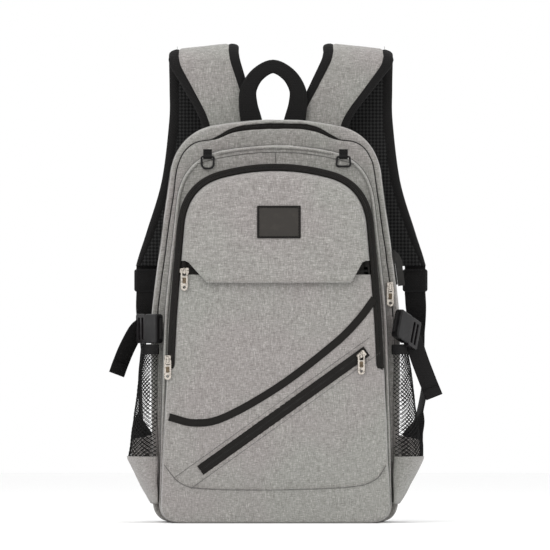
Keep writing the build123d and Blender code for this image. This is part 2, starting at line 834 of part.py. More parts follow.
# ---------------------------------------------------------------- side-release buckles
def buckle_plane(side, sign):
    """Plane of a buckle: x along its pull, z out of its face."""
    turn = radians(buckle_turn)
    drop = radians(buckle_drop[side])
    x, y, z = buckle_origin[side]
    along = (sign * sin(turn) * cos(drop), cos(turn) * cos(drop), -sin(drop))
    out = (sign * cos(turn), -sin(turn), 0)
    return Plane(origin=(sign * x, y, z), x_dir=along, z_dir=out)


housing_end = housing_start + housing_length
clip_start = housing_end + buckle_gap
for side, sign in sides.items():
    plane = buckle_plane(side, sign)
    with BuildPart() as buckle_housing:
        with BuildSketch(plane.offset(-buckle_thickness / 2)):
            with Locations((housing_start + housing_length / 2, 0)):
                RectangleRounded(housing_length, buckle_height, housing_corner)
        extrude(amount=buckle_thickness)
        fillet(buckle_housing.faces().sort_by(SortBy.AREA)[-2:].edges(), housing_edge)
        with BuildSketch(plane.offset(-cavity_thickness / 2)):
            with Locations((housing_end - cavity_depth / 2, 0)):
                Rectangle(cavity_depth, 2 * cavity_half)
            with Locations((housing_end - cavity_depth / 2 - release_inset, 0)):
                Rectangle(release_window, 2 * buckle_height)
        extrude(amount=cavity_thickness, mode=Mode.SUBTRACT)
    keep(buckle_housing, f"buckle_housing_{side}")

    with BuildPart() as buckle_clip:
        with BuildSketch(plane.offset(-clip_thickness / 2)):
            with Locations((clip_start + clip_length / 2, 0)):
                RectangleRounded(clip_length, buckle_height, clip_corner)
            for slot_at in ladder_slots:
                with Locations((clip_start + slot_at, 0)):
                    RectangleRounded(ladder_slot_length, web_width + 1, ladder_slot_corner,
                                     mode=Mode.SUBTRACT)
        extrude(amount=clip_thickness)
        fillet(buckle_clip.faces().sort_by(SortBy.AREA)[-2:].edges(), clip_edge)
        with BuildSketch(plane.offset(-prong_thickness / 2)):
            prong_mid = clip_start - prong_length / 2 + 1
            with Locations((prong_mid, 0)):
                Rectangle(prong_length, prong_spine)
            for hand in (-1, 1):
                with Locations((prong_mid, hand * (prong_half - prong_width / 2))):
                    RectangleRounded(prong_length, prong_width, prong_corner)
        extrude(amount=prong_thickness)
    keep(buckle_clip, f"buckle_clip_{side}")

    half_height = web_width / 2
    compression_x = side_half(REAR, buckle_origin["left"][2]) + compression_stand_off
    with BuildPart() as compression_strap:
        with BuildSketch(plane.offset(-web_thickness / 2)):
            with Locations((housing_start / 2 - 1, 0)):
                Rectangle(housing_start + 1.4, web_width)
        extrude(amount=web_thickness)
        with BuildSketch(Plane.XY.offset(buckle_origin["left"][2] - half_height)):
            with BuildLine():
                Polyline((sign * compression_start[0], compression_start[1]),
                         (sign * compression_x, compression_turn_y),
                         (sign * compression_x, bottle_rear_y))
            trace(line_width=web_thickness)
        extrude(amount=web_width)
    keep(compression_strap, f"compression_strap_{side}")

    start_x, start_z = tail_start[side]
    end_x, end_z = tail_end[side]
    tail_run = hypot(end_x - start_x, end_z - start_z)
    tail_angle = degrees(atan2(end_z - start_z, sign * (end_x - start_x)))
    with BuildPart() as buckle_tail:
        with BuildSketch(facing(tail_y[side] + tail_thickness)):
            with Locations(Location((sign * (start_x + end_x) / 2, (start_z + end_z) / 2), tail_angle)):
                Rectangle(tail_run, tail_width)
        extrude(amount=tail_thickness)
    keep(buckle_tail, f"buckle_tail_{side}")


# ---------------------------------------------------------------- charging port
with BuildPart() as usb_plate:
    with BuildSketch(usb_plane):
        RectangleRounded(usb_plate_length, usb_plate_width, usb_plate_corner)
        Rectangle(usb_socket_height + 2 * clearance, usb_socket_width + 2 * clearance, mode=Mode.SUBTRACT)
    extrude(amount=usb_plate_thickness)
keep(usb_plate, "usb_plate")

with BuildPart() as usb_socket:
    with BuildSketch(usb_plane.offset(usb_plate_thickness - usb_socket_depth)):
        Rectangle(usb_socket_height, usb_socket_width)
    extrude(amount=usb_socket_depth)
    with BuildSketch(usb_plane.offset(usb_plate_thickness - usb_socket_depth + usb_socket_back)):
        Rectangle(usb_socket_height - 2 * usb_socket_wall, usb_socket_width - 2 * usb_socket_wall)
    extrude(amount=usb_socket_depth, mode=Mode.SUBTRACT)
keep(usb_socket, "usb_socket")

cover_side = usb_plane.offset(usb_plate_thickness + clearance)
cover_profile = Plane(origin=cover_side.origin - cover_side.y_dir * usb_cover_width / 2,
                      x_dir=cover_side.x_dir, z_dir=cover_side.y_dir)
cover_half = usb_cover_length / 2
with BuildPart() as usb_cover:
    with BuildSketch(cover_profile):
        with BuildLine():
            Polyline((cover_half, 0), (-cover_half, 0), (-cover_half, -usb_cover_rise), (0, -usb_cover_rise))
            ThreePointArc((0, -usb_cover_rise),
                          (cover_half * sin(radians(45)), -usb_cover_rise * cos(radians(45))),
                          (cover_half, 0))
        make_face()
    extrude(amount=usb_cover_width)
keep(usb_cover, "usb_cover")
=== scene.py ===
"""Looks of a soft laptop backpack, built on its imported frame.

Sizes are metres. +Z is up, the front of the bag faces -Y, and the origin is the centre of its underside.
"""
import json
import logging
import math
from collections.abc import Callable, Sequence
from dataclasses import dataclass
from enum import Enum

import bmesh
import bpy
import numpy as np
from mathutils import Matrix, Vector, noise

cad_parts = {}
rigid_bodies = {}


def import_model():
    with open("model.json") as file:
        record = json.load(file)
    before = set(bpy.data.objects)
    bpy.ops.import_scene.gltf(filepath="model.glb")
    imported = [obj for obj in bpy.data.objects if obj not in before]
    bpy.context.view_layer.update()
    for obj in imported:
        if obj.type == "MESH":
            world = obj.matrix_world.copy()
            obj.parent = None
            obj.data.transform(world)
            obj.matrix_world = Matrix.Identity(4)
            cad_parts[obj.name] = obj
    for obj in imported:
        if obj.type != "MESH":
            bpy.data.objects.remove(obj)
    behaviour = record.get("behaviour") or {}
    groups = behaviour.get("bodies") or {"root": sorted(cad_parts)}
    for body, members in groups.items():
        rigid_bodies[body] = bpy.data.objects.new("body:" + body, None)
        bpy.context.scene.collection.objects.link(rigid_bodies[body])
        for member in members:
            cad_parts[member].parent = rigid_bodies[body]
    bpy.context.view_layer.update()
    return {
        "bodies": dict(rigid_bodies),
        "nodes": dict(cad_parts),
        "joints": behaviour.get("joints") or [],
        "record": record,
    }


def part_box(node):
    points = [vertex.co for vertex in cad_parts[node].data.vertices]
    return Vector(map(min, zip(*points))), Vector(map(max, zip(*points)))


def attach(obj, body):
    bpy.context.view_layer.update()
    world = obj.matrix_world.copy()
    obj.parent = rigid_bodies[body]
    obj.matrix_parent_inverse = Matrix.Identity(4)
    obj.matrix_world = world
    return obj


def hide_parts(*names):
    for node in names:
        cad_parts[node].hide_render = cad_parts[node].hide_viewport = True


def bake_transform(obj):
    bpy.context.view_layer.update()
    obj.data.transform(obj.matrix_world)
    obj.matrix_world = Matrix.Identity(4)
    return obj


log = logging.getLogger("backpack")
BAG = "bag"
PANEL = "front_panel"
FLAP = "storm_flap"
SIDES = {"left": -1, "right": 1}

Points = Sequence | np.ndarray
Value = bpy.types.NodeSocket | float | tuple
Mesh = bpy.types.Object
Cloth = bpy.types.Material


# ---------------------------------------------------------------- sizes
@dataclass(frozen=True)
class Arch:
    """Front outline of one layer of the bag, in metres."""

    base_half: float
    waist_half: float
    waist_z: float
    shoulder_half: float
    shoulder_z: float
    crown_z: float

    def half_at(self, z: float) -> float:
        """Return the half width of the side at height z, without its rounded corners.

        Args:
            z: height above the ground.

        Returns:
            The value, in metres.
        """
        if z < self.waist_z:
            return self.base_half + (self.waist_half - self.base_half) * z / self.waist_z
        share = (z - self.waist_z) / (self.shoulder_z - self.waist_z)
        return self.waist_half + (self.shoulder_half - self.waist_half) * share


REAR = Arch(0.146, 0.148, 0.249, 0.119, 0.463, 0.481)
FRONT = Arch(0.139, 0.132, 0.248, 0.112, 0.431, 0.450)
POCKET = Arch(0.137, 0.125, 0.250, 0.112, 0.402, 0.428)


@dataclass(frozen=True)
class Body:
    """Depths and heights that the cloth pieces share."""

    face_y: float = -0.085
    outer_y: float = -0.0924
    tape_width: float = 0.0075
    fold_low: float = 0.258
    fold_high: float = 0.282
    flap_hinge_z: float = 0.312
    flap_side_z: float = 0.3095
    flap_edge_z: float = 0.2856
    flap_left: float = -0.0815
    flap_right: float = 0.090
    pocket_top_z: float = 0.2955
    base_window: float = 0.050
    crown_window: float = 0.098


BODY = Body()


@dataclass(frozen=True)
class Thread:
    """A row of stitches: distance between stitches, length of one and its radius."""

    pitch: float = 0.0036
    length: float = 0.0024
    radius: float = 0.00026


STITCH = Thread()


class Look(Enum):
    """Materials of the bag, by the process that makes each."""

    HEATHER = "heather_woven_polyester"
    # painted shade: the heather darkened, for the seam creases
    HEATHER_SEAM_SHADE = "heather_seam_painted_shade"
    WEBBING = "black_ribbed_webbing"
    TAPE = "black_zip_tape"
    TEETH = "black_nylon_coil"
    AIR_MESH = "black_spacer_mesh"
    NET = "black_knitted_net"
    LINING = "charcoal_lining"
    THREAD_GREY = "grey_polyester_thread"
    THREAD_DARK = "black_polyester_thread"
    ACETAL = "black_moulded_acetal"
    ACETAL_GREY = "grey_moulded_acetal"
    NICKEL = "cast_nickel_polished"
    RUBBER = "grey_moulded_rubber"
    STEEL = "drawn_steel"
    LEATHER = "dark_synthetic_leather"
    # painted shade: a dark metal for the plates that stand in for the shade in the pulls' recesses
    RECESS_SHADE = "nickel_recess_painted_shade"
    SHEET = "black_plastic_sheet"
    FLOOR = "studio_paper"


# ---------------------------------------------------------------- colour and shader helpers
def linear(code: str) -> tuple:
    """Turn an sRGB hex code into linear RGBA."""
    parts = [int(code[i:i + 2], 16) / 255 for i in (1, 3, 5)]
    return tuple(c / 12.92 if c <= 0.04045 else ((c + 0.055) / 1.055) ** 2.4 for c in parts) + (1.0,)


class Shader:
    """A small wrapper that adds and joins shader nodes."""

    def __init__(self, look: Look) -> None:
        """Set up what the methods below share.

        Args:
            look: which material this is.
        """
        self.material = bpy.data.materials.new(look.value)
        self.material.use_nodes = True
        self.tree = self.material.node_tree
        self.tree.nodes.clear()
        self.out = self.tree.nodes.new("ShaderNodeOutputMaterial")
        self.place = self.add("ShaderNodeTexCoord").outputs["Object"]

    def add(self, kind: str, props: dict | None = None, **inputs: object) -> bpy.types.Node:
        """Add one node.

        Args:
            kind: Blender's node type.
            props: attributes to set on the node.
            inputs: values or sockets by input name, with _ for a space.

        Returns:
            The new node.
        """
        node = self.tree.nodes.new(kind)
        for key, value in (props or {}).items():
            setattr(node, key, value)
        for key, value in inputs.items():
            name = key.replace("_", " ")
            socket = node.inputs[int(name[3:])] if name.startswith("at ") else node.inputs[name]
            if isinstance(value, bpy.types.NodeSocket):
                self.tree.links.new(value, socket)
            else:
                socket.default_value = value
        return node

    def maths(self, operation: str, first: Value, second: Value = 0.0) -> bpy.types.NodeSocket:
        """Return the output of one maths node."""
        return self.add("ShaderNodeMath", {"operation": operation}, at_0=first, at_1=second).outputs[0]

    def noise(self, scale: tuple, detail: float = 2.0, rough: float = 0.55) -> bpy.types.NodeSocket:
        """Return noise whose features are 1 / scale metres long on each axis.

        Args:
            scale: how often the pattern repeats, per metre.
            detail: octaves of the noise.
            rough: share of fine detail.

        Returns:
            The socket that carries the result.
        """
        mapped = self.add("ShaderNodeMapping", None, Vector=self.place, Scale=scale)
        return self.add("ShaderNodeTexNoise", None, Vector=mapped.outputs[0], Scale=1.0, Detail=detail,
                        Roughness=rough).outputs["Fac"]

    def spread(self, value: Value, low: float, high: float) -> bpy.types.NodeSocket:
        """Stretch value so that low becomes 0 and high becomes 1."""
        return self.add("ShaderNodeMapRange", None, Value=value, From_Min=low, From_Max=high).outputs[0]

    def blend(self, share: Value, first: Value, second: Value) -> bpy.types.NodeSocket:
        """Mix two colours by share.

        Args:
            share: share from 0 to 1.
            first: colour at 0.
            second: colour at 1.

        Returns:
            The socket that carries the result.
        """
        node = self.add("ShaderNodeMix", {"data_type": "RGBA"})
        for index, value in ((0, share), (6, first), (7, second)):
            if isinstance(value, bpy.types.NodeSocket):
                self.tree.links.new(value, node.inputs[index])
            else:
                node.inputs[index].default_value = value
        return node.outputs[2]

    def ribs(self, direction: str, period: float) -> bpy.types.NodeSocket:
        """Return 0 to 1 ribs that repeat every period metres along a diagonal or an axis.

        Args:
            direction: axis that the ribs cross.
            period: distance between ribs, in metres.

        Returns:
            The socket that carries the result.
        """
        wave = self.add("ShaderNodeTexWave", {"bands_direction": direction}, Vector=self.place,
                        Scale=math.pi / 10 / period, Distortion=0.4)
        return wave.outputs["Fac"]

    def finish(self, colour: Value, rough: Value, height: Value | None = None, depth: float = 0.0002,
               edge: float = 0.0, **more: object) -> Cloth:
        """Close the material with one principled surface, an optional bump and edges softened by a radius.

        Args:
            colour: base colour.
            rough: roughness.
            height: what raises the surface, if anything does.
            depth: how far the surface is raised, in metres.
            edge: radius that softens the edges, in metres.
            more: further inputs of the shader by name.

        Returns:
            The finished material.
        """
        surface = self.add("ShaderNodeBsdfPrincipled", None, Base_Color=colour, Roughness=rough, **more)
        if height is not None:
            bump = self.add("ShaderNodeBump", None, Height=height, Distance=depth, Strength=1.0)
            self.tree.links.new(bump.outputs[0], surface.inputs["Normal"])
            if edge:
                soft = self.add("ShaderNodeBevel", None, Radius=edge)
                self.tree.links.new(soft.outputs[0], bump.inputs["Normal"])
        self.tree.links.new(surface.outputs[0], self.out.inputs[0])
        return self.material


@dataclass(frozen=True)
class ClothFinish:
    """Tones of a heather cloth and the size of its yarn."""

    dark: str = "#67635F"
    light: str = "#B2AFAA"
    warm: str = "#8B8684"
    cool: str = "#8A8A85"
    slub_long: float = 0.0060
    slub_thick: float = 0.0008
    yarn: float = 0.0007


def heather(look: Look, finish: ClothFinish, shade: float = 1.0) -> Cloth:
    """Two-tone woven polyester: short light and dark slubs lie level and upright, as in a melange weave.

    Args:
        look: which material this is.
        finish: tones and yarn size of the cloth.
        shade: factor on its brightness.

    Returns:
        The finished material.
    """
    s = Shader(look)
    thin, long = 1 / finish.slub_thick, 1 / finish.slub_long
    level = s.noise((long, long, thin), 3.0, 0.6)
    upright = s.noise((thin, thin, long), 3.0, 0.6)
    grain = s.noise((1 / finish.yarn,) * 3, 1.0)
    mixed = s.maths("ADD", s.maths("MULTIPLY", level, 0.4), s.maths("MULTIPLY", upright, 0.4))
    mixed = s.maths("ADD", mixed, s.maths("MULTIPLY", grain, 0.2))
    tone = s.spread(mixed, 0.36, 0.64)
    base = s.blend(s.spread(s.noise((7, 7, 7)), 0.4, 0.6), linear(finish.warm), linear(finish.cool))
    dark = s.blend(s.spread(tone, 0.0, 0.5), linear(finish.dark), base)
    colour = s.blend(s.spread(tone, 0.55, 1.0), dark, linear(finish.light))
    # painted shade: below 1, a darker copy of the same cloth, used for the seam creases
    if shade != 1.0:
        colour = s.blend(1.0 - shade, colour, linear("#000000"))
    weave = s.maths("MULTIPLY", s.ribs("X", finish.yarn), s.ribs("Z", finish.yarn))
    height = s.maths("ADD", s.maths("MULTIPLY", weave, 0.5), s.maths("MULTIPLY", mixed, 0.9))
    return s.finish(colour, 0.93, height, 0.00045, Sheen_Weight=0.25, Sheen_Roughness=0.5)


def dark_cloth(look: Look, tone: str, high: str, period: float, depth: float, rough: float = 0.85) -> Cloth:
    """Black woven band: fine cross ribs catch a dull light along their ridges.

    Args:
        look: which material this is.
        tone: sRGB hex of the main colour.
        high: sRGB hex of the raised yarn.
        period: distance between ribs, in metres.
        depth: how far the surface is raised, in metres.
        rough: roughness.

    Returns:
        The finished material.
    """
    s = Shader(look)
    twill = s.maths("MULTIPLY", s.ribs("DIAGONAL", period), s.ribs("Z", period * 1.3))
    fuzz = s.noise((900, 900, 900), 2.0)
    colour = s.blend(s.maths("MULTIPLY", twill, s.spread(fuzz, 0.3, 0.7)), linear(tone), linear(high))
    return s.finish(colour, rough, s.maths("ADD", twill, s.maths("MULTIPLY", fuzz, 0.4)), depth,
                    Specular_IOR_Level=0.25)


def spacer_mesh(look: Look) -> Cloth:
    """Spacer mesh: rows of small pits in a diamond order, with painted shade inside the pits and a painted
    highlight on the knit between them.

    Args:
        look: which material this is.

    Returns:
        The finished material.
    """
    s = Shader(look)
    axes = s.add("ShaderNodeSeparateXYZ", None, Vector=s.place)
    turn = 2 * math.pi / 0.0085
    first = s.maths("SINE", s.maths("MULTIPLY", s.maths("ADD", axes.outputs[0], axes.outputs[2]), turn))
    other = s.maths("SINE", s.maths("MULTIPLY", s.maths("SUBTRACT", axes.outputs[0], axes.outputs[2]), turn))
    knit = s.spread(s.maths("MULTIPLY", first, other), 0.25, -0.25)
    # painted shade in the pits, painted highlight on the knit
    colour = s.blend(knit, linear("#060606"), linear("#262626"))
    return s.finish(colour, 0.85, knit, 0.0007, Specular_IOR_Level=0.2)


def moulded(look: Look, tone: str, worn: str, rough: float, grain: float = 0.00004,
            edge: float = 0.0004) -> Cloth:
    """Moulded plastic or rubber: fine spark grain, and random patches rubbed a little paler.

    Args:
        look: which material this is.
        tone: sRGB hex of the main colour.
        worn: sRGB hex of rubbed places.
        rough: roughness.
        grain: height of the moulded grain, in metres.
        edge: radius that softens the edges, in metres.

    Returns:
        The finished material.
    """
    s = Shader(look)
    fine = s.noise((2500, 2500, 2500), 2.0)
    wear = s.spread(s.noise((120, 120, 120), 3.0), 0.52, 0.75)
    colour = s.blend(s.maths("MULTIPLY", wear, 0.5), linear(tone), linear(worn))
    roughness = s.maths("ADD", rough, s.maths("MULTIPLY", fine, 0.15))
    return s.finish(colour, roughness, fine, grain, edge, Specular_IOR_Level=0.22)


def metal(look: Look, tone: str, edge_shade_and_cloud: str, rough: float) -> Cloth:
    """Polished cast metal: bright, clouded at random and rubbed, with its edges painted dark along a rounded
    corner as painted shade.

    Args:
        look: which material this is.
        tone: sRGB hex of the main colour.
        edge_shade_and_cloud: sRGB hex of the random clouds and of the painted shade on the edges.
        rough: roughness.

    Returns:
        The finished material.
    """
    s = Shader(look)
    cloud = s.noise((260, 260, 260), 3.0)
    rounded = s.add("ShaderNodeBevel", None, Radius=0.0010)
    turned = s.add("ShaderNodeVectorMath", {"operation": "DOT_PRODUCT"})
    s.tree.links.new(rounded.outputs[0], turned.inputs[0])
    s.tree.links.new(s.add("ShaderNodeNewGeometry").outputs["True Normal"], turned.inputs[1])
    # painted shade: the further the rounded normal turns from the true normal, the darker the edge
    corner = s.maths("SUBTRACT", 1.0, turned.outputs["Value"])
    shade = s.maths("MAXIMUM", s.spread(cloud, 0.5, 0.8), s.spread(corner, 0.01, 0.08))
    colour = s.blend(shade, linear(tone), linear(edge_shade_and_cloud))
    scratch = s.noise((3000, 400, 400), 2.0)
    roughness = s.maths("ADD", rough, s.maths("MULTIPLY", scratch, 0.14))
    return s.finish(colour, roughness, scratch, 0.00002, 0.0003, Metallic=1.0)


def make_looks() -> dict:
    """Build every material once.

    Returns:
        A dict from Look to its material.
    """
    cloth = ClothFinish()
    floor = Shader(Look.FLOOR)
    paper = floor.noise((40, 40, 40), 3.0)
    return {
        Look.HEATHER: heather(Look.HEATHER, cloth),
        # the heather darkened to 42 per cent: painted shade in the seam creases
        Look.HEATHER_SEAM_SHADE: heather(Look.HEATHER_SEAM_SHADE, cloth, 0.42),
        Look.WEBBING: dark_cloth(Look.WEBBING, "#080707", "#1E1C1B", 0.0016, 0.00035),
        Look.TAPE: dark_cloth(Look.TAPE, "#0F0D0B", "#221E1B", 0.0009, 0.00015),
        Look.TEETH: moulded(Look.TEETH, "#191817", "#3A3836", 0.4),
        Look.AIR_MESH: spacer_mesh(Look.AIR_MESH),
        Look.NET: dark_cloth(Look.NET, "#060606", "#161515", 0.0008, 0.0001),
        Look.LINING: dark_cloth(Look.LINING, "#2B2A2B", "#414042", 0.0007, 0.0001),
        Look.THREAD_GREY: dark_cloth(Look.THREAD_GREY, "#8D8883", "#B9B4AE", 0.0006, 0.00008),
        Look.THREAD_DARK: dark_cloth(Look.THREAD_DARK, "#141312", "#2D2A28", 0.0006, 0.00008),
        Look.ACETAL: moulded(Look.ACETAL, "#0E0D0E", "#2B2A2B", 0.34),
        Look.ACETAL_GREY: moulded(Look.ACETAL_GREY, "#191718", "#383538", 0.26),
        Look.NICKEL: metal(Look.NICKEL, "#CFC7BD", "#2A2520", 0.2),
        Look.RUBBER: moulded(Look.RUBBER, "#2F2E2D", "#434240", 0.6, 0.00008),
        # painted shade of the pulls' recesses: a darker, rougher metal than the nickel
        Look.RECESS_SHADE: metal(Look.RECESS_SHADE, "#6F6252", "#2F2A24", 0.42),
        Look.STEEL: metal(Look.STEEL, "#C2C4C8", "#96989C", 0.25),
        Look.LEATHER: moulded(Look.LEATHER, "#302D2A", "#3D3935", 0.55, 0.0003),
        Look.SHEET: moulded(Look.SHEET, "#1E1E1E", "#333333", 0.5),
        Look.FLOOR: floor.finish(floor.blend(paper, linear("#F7F7F7"), linear("#FCFCFC")), 0.9),
    }


# ---------------------------------------------------------------- shape helpers
def smooth_path(points: Points, step: float) -> np.ndarray:
    """Run a smooth curve through control points of any dimension, with samples about step apart.

    Args:
        points: points along the path, in metres.
        step: distance between samples.

    Returns:
        The samples, one in each row.
    """
    p = np.asarray(points, float)
    ends = np.vstack([2 * p[0] - p[1], p, 2 * p[-1] - p[-2]])
    out = []
    for i in range(1, len(ends) - 2):
        a, b, c, d = ends[i - 1], ends[i], ends[i + 1], ends[i + 2]
        count = max(2, int(np.linalg.norm(c[:3] - b[:3]) / step))
        t = np.linspace(0, 1, count, endpoint=False)[:, None]
        out.append(0.5 * (2 * b + (c - a) * t + (2 * a - 5 * b + 4 * c - d) * t ** 2
                          + (3 * b - 3 * c + d - a) * t ** 3))
    out.append(p[-1:])
    return np.vstack(out)


def spaced(points: np.ndarray, count: int, closed: bool = False) -> np.ndarray:
    """Resample a line to count points at equal distances.

    Args:
        points: points along the path, in metres.
        count: number of points.
        closed: whether the line closes on itself.

    Returns:
        The samples, one in each row.
    """
    line = np.vstack([points, points[:1]]) if closed else points
    run = np.concatenate([[0], np.cumsum(np.linalg.norm(np.diff(line, axis=0), axis=1))])
    at = np.linspace(0, run[-1], count, endpoint=not closed)
    return np.column_stack([np.interp(at, run, line[:, k]) for k in range(line.shape[1])])


def outline(arch: Arch, count: int = 440) -> np.ndarray:
    """Sample an arch as a closed ring of (x, z), starting at the middle of its base.

    Its corners are rounded by averaging along the ring, so its flats stay straight.
    """
    crown = arch.crown_z - arch.shoulder_z
    xs = np.linspace(arch.shoulder_half, -arch.shoulder_half, 41)
    top = np.column_stack([xs, arch.crown_z - crown * (xs / arch.shoulder_half) ** 2])
    ring = np.vstack([[(0, 0), (arch.base_half, 0), (arch.waist_half, arch.waist_z)], top,
                      [(-arch.waist_half, arch.waist_z), (-arch.base_half, 0)]])
    dense = spaced(ring, 1600, True)
    base, crown = (ring_average(dense, window) for window in (BODY.base_window, BODY.crown_window))
    share = np.clip((dense[:, 1:] - 0.20) / 0.15, 0, 1)
    share = share * share * (3 - 2 * share)
    return spaced(base + (crown - base) * share, count, True)


def zip_line(ring: np.ndarray) -> np.ndarray:
    """Inset of the main zip's middle: it dips away from the rim at both ends of the opening."""
    dip = np.exp(-((np.abs(ring[:, 0]) - 0.080) / 0.022) ** 2) * np.clip((ring[:, 1] - 0.40) / 0.04, 0, 1)
    return 0.0065 + 0.0085 * dip


def ring_average(ring: np.ndarray, window: float) -> np.ndarray:
    """Average a closed, evenly spaced ring over a window of its length, which rounds its corners.

    Args:
        ring: points round the outline.
        window: length that is averaged, in metres.

    Returns:
        The averaged ring.
    """
    width = int(window / np.linalg.norm(ring[1] - ring[0])) | 1
    half = width // 2
    padded = np.vstack([ring[-half:], ring, ring[:half]])
    kernel = np.ones(width) / width
    return np.column_stack([np.convolve(padded[:, k], kernel, "valid") for k in (0, 1)])


def outward(ring: np.ndarray) -> np.ndarray:
    """Return the outward unit normals of a closed (x, z) ring that runs to the right along its base.

    Args:
        ring: points round the outline.

    Returns:
        Unit vectors that point away from the middle.
    """
    along = np.roll(ring, -1, axis=0) - np.roll(ring, 1, axis=0)
    normal = np.column_stack([along[:, 1], -along[:, 0]])
    return normal / np.linalg.norm(normal, axis=1, keepdims=True)


def inset(ring: np.ndarray, distance: float | np.ndarray) -> np.ndarray:
    """Draw a ring in by one distance, or by one for each point."""
    return ring - outward(ring) * np.asarray(distance).reshape(-1, 1)


def upright(ring: np.ndarray, y: float | np.ndarray) -> np.ndarray:
    """Stand an (x, z) ring at depth y."""
    return np.column_stack([ring[:, 0], np.broadcast_to(y, len(ring)), ring[:, 1]])


def wave(point: Points, size: float, seed: float = 0.0) -> float:
    """Smooth noise from -1 to 1 with features about size metres long."""
    return noise.noise(Vector(point) / size + Vector((seed, seed * 1.7, -seed)))


def new_object(name: str, mesh: bpy.types.Mesh, material: Cloth | None = None) -> Mesh:
    """Link a mesh as an object with one material.

    Args:
        name: name of the object.
        mesh: its mesh.
        material: its material.

    Returns:
        The mesh object.
    """
    obj = bpy.data.objects.new(name, mesh)
    bpy.context.scene.collection.objects.link(obj)
    if material:
        mesh.materials.append(material)
    return obj


def surface(name: str, rows: Sequence, material: Cloth, closed: bool = False, smooth: bool = True) -> Mesh:
    """Build a quad surface from rows of points.

    Args:
        name: object name.
        rows: a list of equally long point arrays.
        material: material of the surface.
        closed: whether each row joins its own start.
        smooth: whether it is shaded smooth.

    Returns:
        The new object.
    """
    rows = [np.asarray(r, float) for r in rows]
    count = len(rows[0])
    mesh = bpy.data.meshes.new(name)
    faces = []
    for j in range(len(rows) - 1):
        for i in range(count if closed else count - 1):
            k = (i + 1) % count
            faces.append((j * count + i, j * count + k, (j + 1) * count + k, (j + 1) * count + i))
    mesh.from_pydata([tuple(v) for v in np.vstack(rows)], [], faces)
    for polygon in mesh.polygons:
        polygon.use_smooth = smooth
    return new_object(name, mesh, material)


def modify(obj: Mesh, kind: str, **settings: object) -> Mesh:
    """Add one modifier and apply it to the mesh.

    Args:
        obj: mesh object.
        kind: type of the modifier or node.
        settings: settings by name.

    Returns:
        The mesh object.
    """
    item = obj.modifiers.new(kind.lower(), kind)
    for key, value in settings.items():
        setattr(item, key, value)
    bake(obj)
    return obj


def bake(obj: Mesh) -> Mesh:
    """Apply an object's modifiers to its mesh.

    Args:
        obj: mesh object.

    Returns:
        The mesh object.
    """
    bpy.context.view_layer.update()
    graph = bpy.context.evaluated_depsgraph_get()
    mesh = bpy.data.meshes.new_from_object(obj.evaluated_get(graph))
    old = obj.data
    obj.modifiers.clear()
    obj.data = mesh
    bpy.data.meshes.remove(old)
    return obj


def tidy(obj: Mesh, merge: float = 0.00002) -> Mesh:
    """Merge doubles and turn normals outward.

    Args:
        obj: mesh object.
        merge: distance below which points are merged.

    Returns:
        The mesh object.
    """
    work = bmesh.new()
    work.from_mesh(obj.data)
    bmesh.ops.remove_doubles(work, verts=work.verts, dist=merge)
    bmesh.ops.recalc_face_normals(work, faces=work.faces)
    work.to_mesh(obj.data)
    work.free()
    return obj


def thicken(obj: Mesh, thickness: float, offset: float = -1.0) -> Mesh:
    """Give a cloth surface its real thickness, with closed edges."""
    modify(obj, "SOLIDIFY", thickness=thickness, offset=offset, use_even_offset=False)
    return tidy(obj, 0.000001)


def cut(obj: Mesh, point: Points, normal: Points) -> Mesh:
    """Cut a mesh by a plane and drop what lies on the side the normal points to.

    Args:
        obj: mesh object.
        point: point on the plane.
        normal: direction of the side that is dropped.
    """
    work = bmesh.new()
    work.from_mesh(obj.data)
    geometry = work.faces[:] + work.edges[:] + work.verts[:]
    bmesh.ops.bisect_plane(work, geom=geometry, plane_co=point, plane_no=normal, clear_outer=True)
    work.to_mesh(obj.data)
    work.free()
    return obj


def join(name: str, objects: list) -> Mesh:
    """Join mesh objects into one.

    Args:
        name: name of the object.
        objects: mesh objects.

    Returns:
        The mesh object.
    """
    work = bmesh.new()
    slots = []
    for obj in objects:
        first = len(work.faces)
        work.from_mesh(obj.data)
        work.faces.ensure_lookup_table()
        for material in obj.data.materials:
            if material not in slots:
                slots.append(material)
        for face in list(work.faces)[first:]:
            face.material_index = slots.index(obj.data.materials[face.material_index])
    mesh = bpy.data.meshes.new(name)
    work.to_mesh(mesh)
    work.free()
    joined = new_object(name, mesh)
    for material in slots:
        mesh.materials.append(material)
    for obj in objects:
        bpy.data.objects.remove(obj)
    return joined


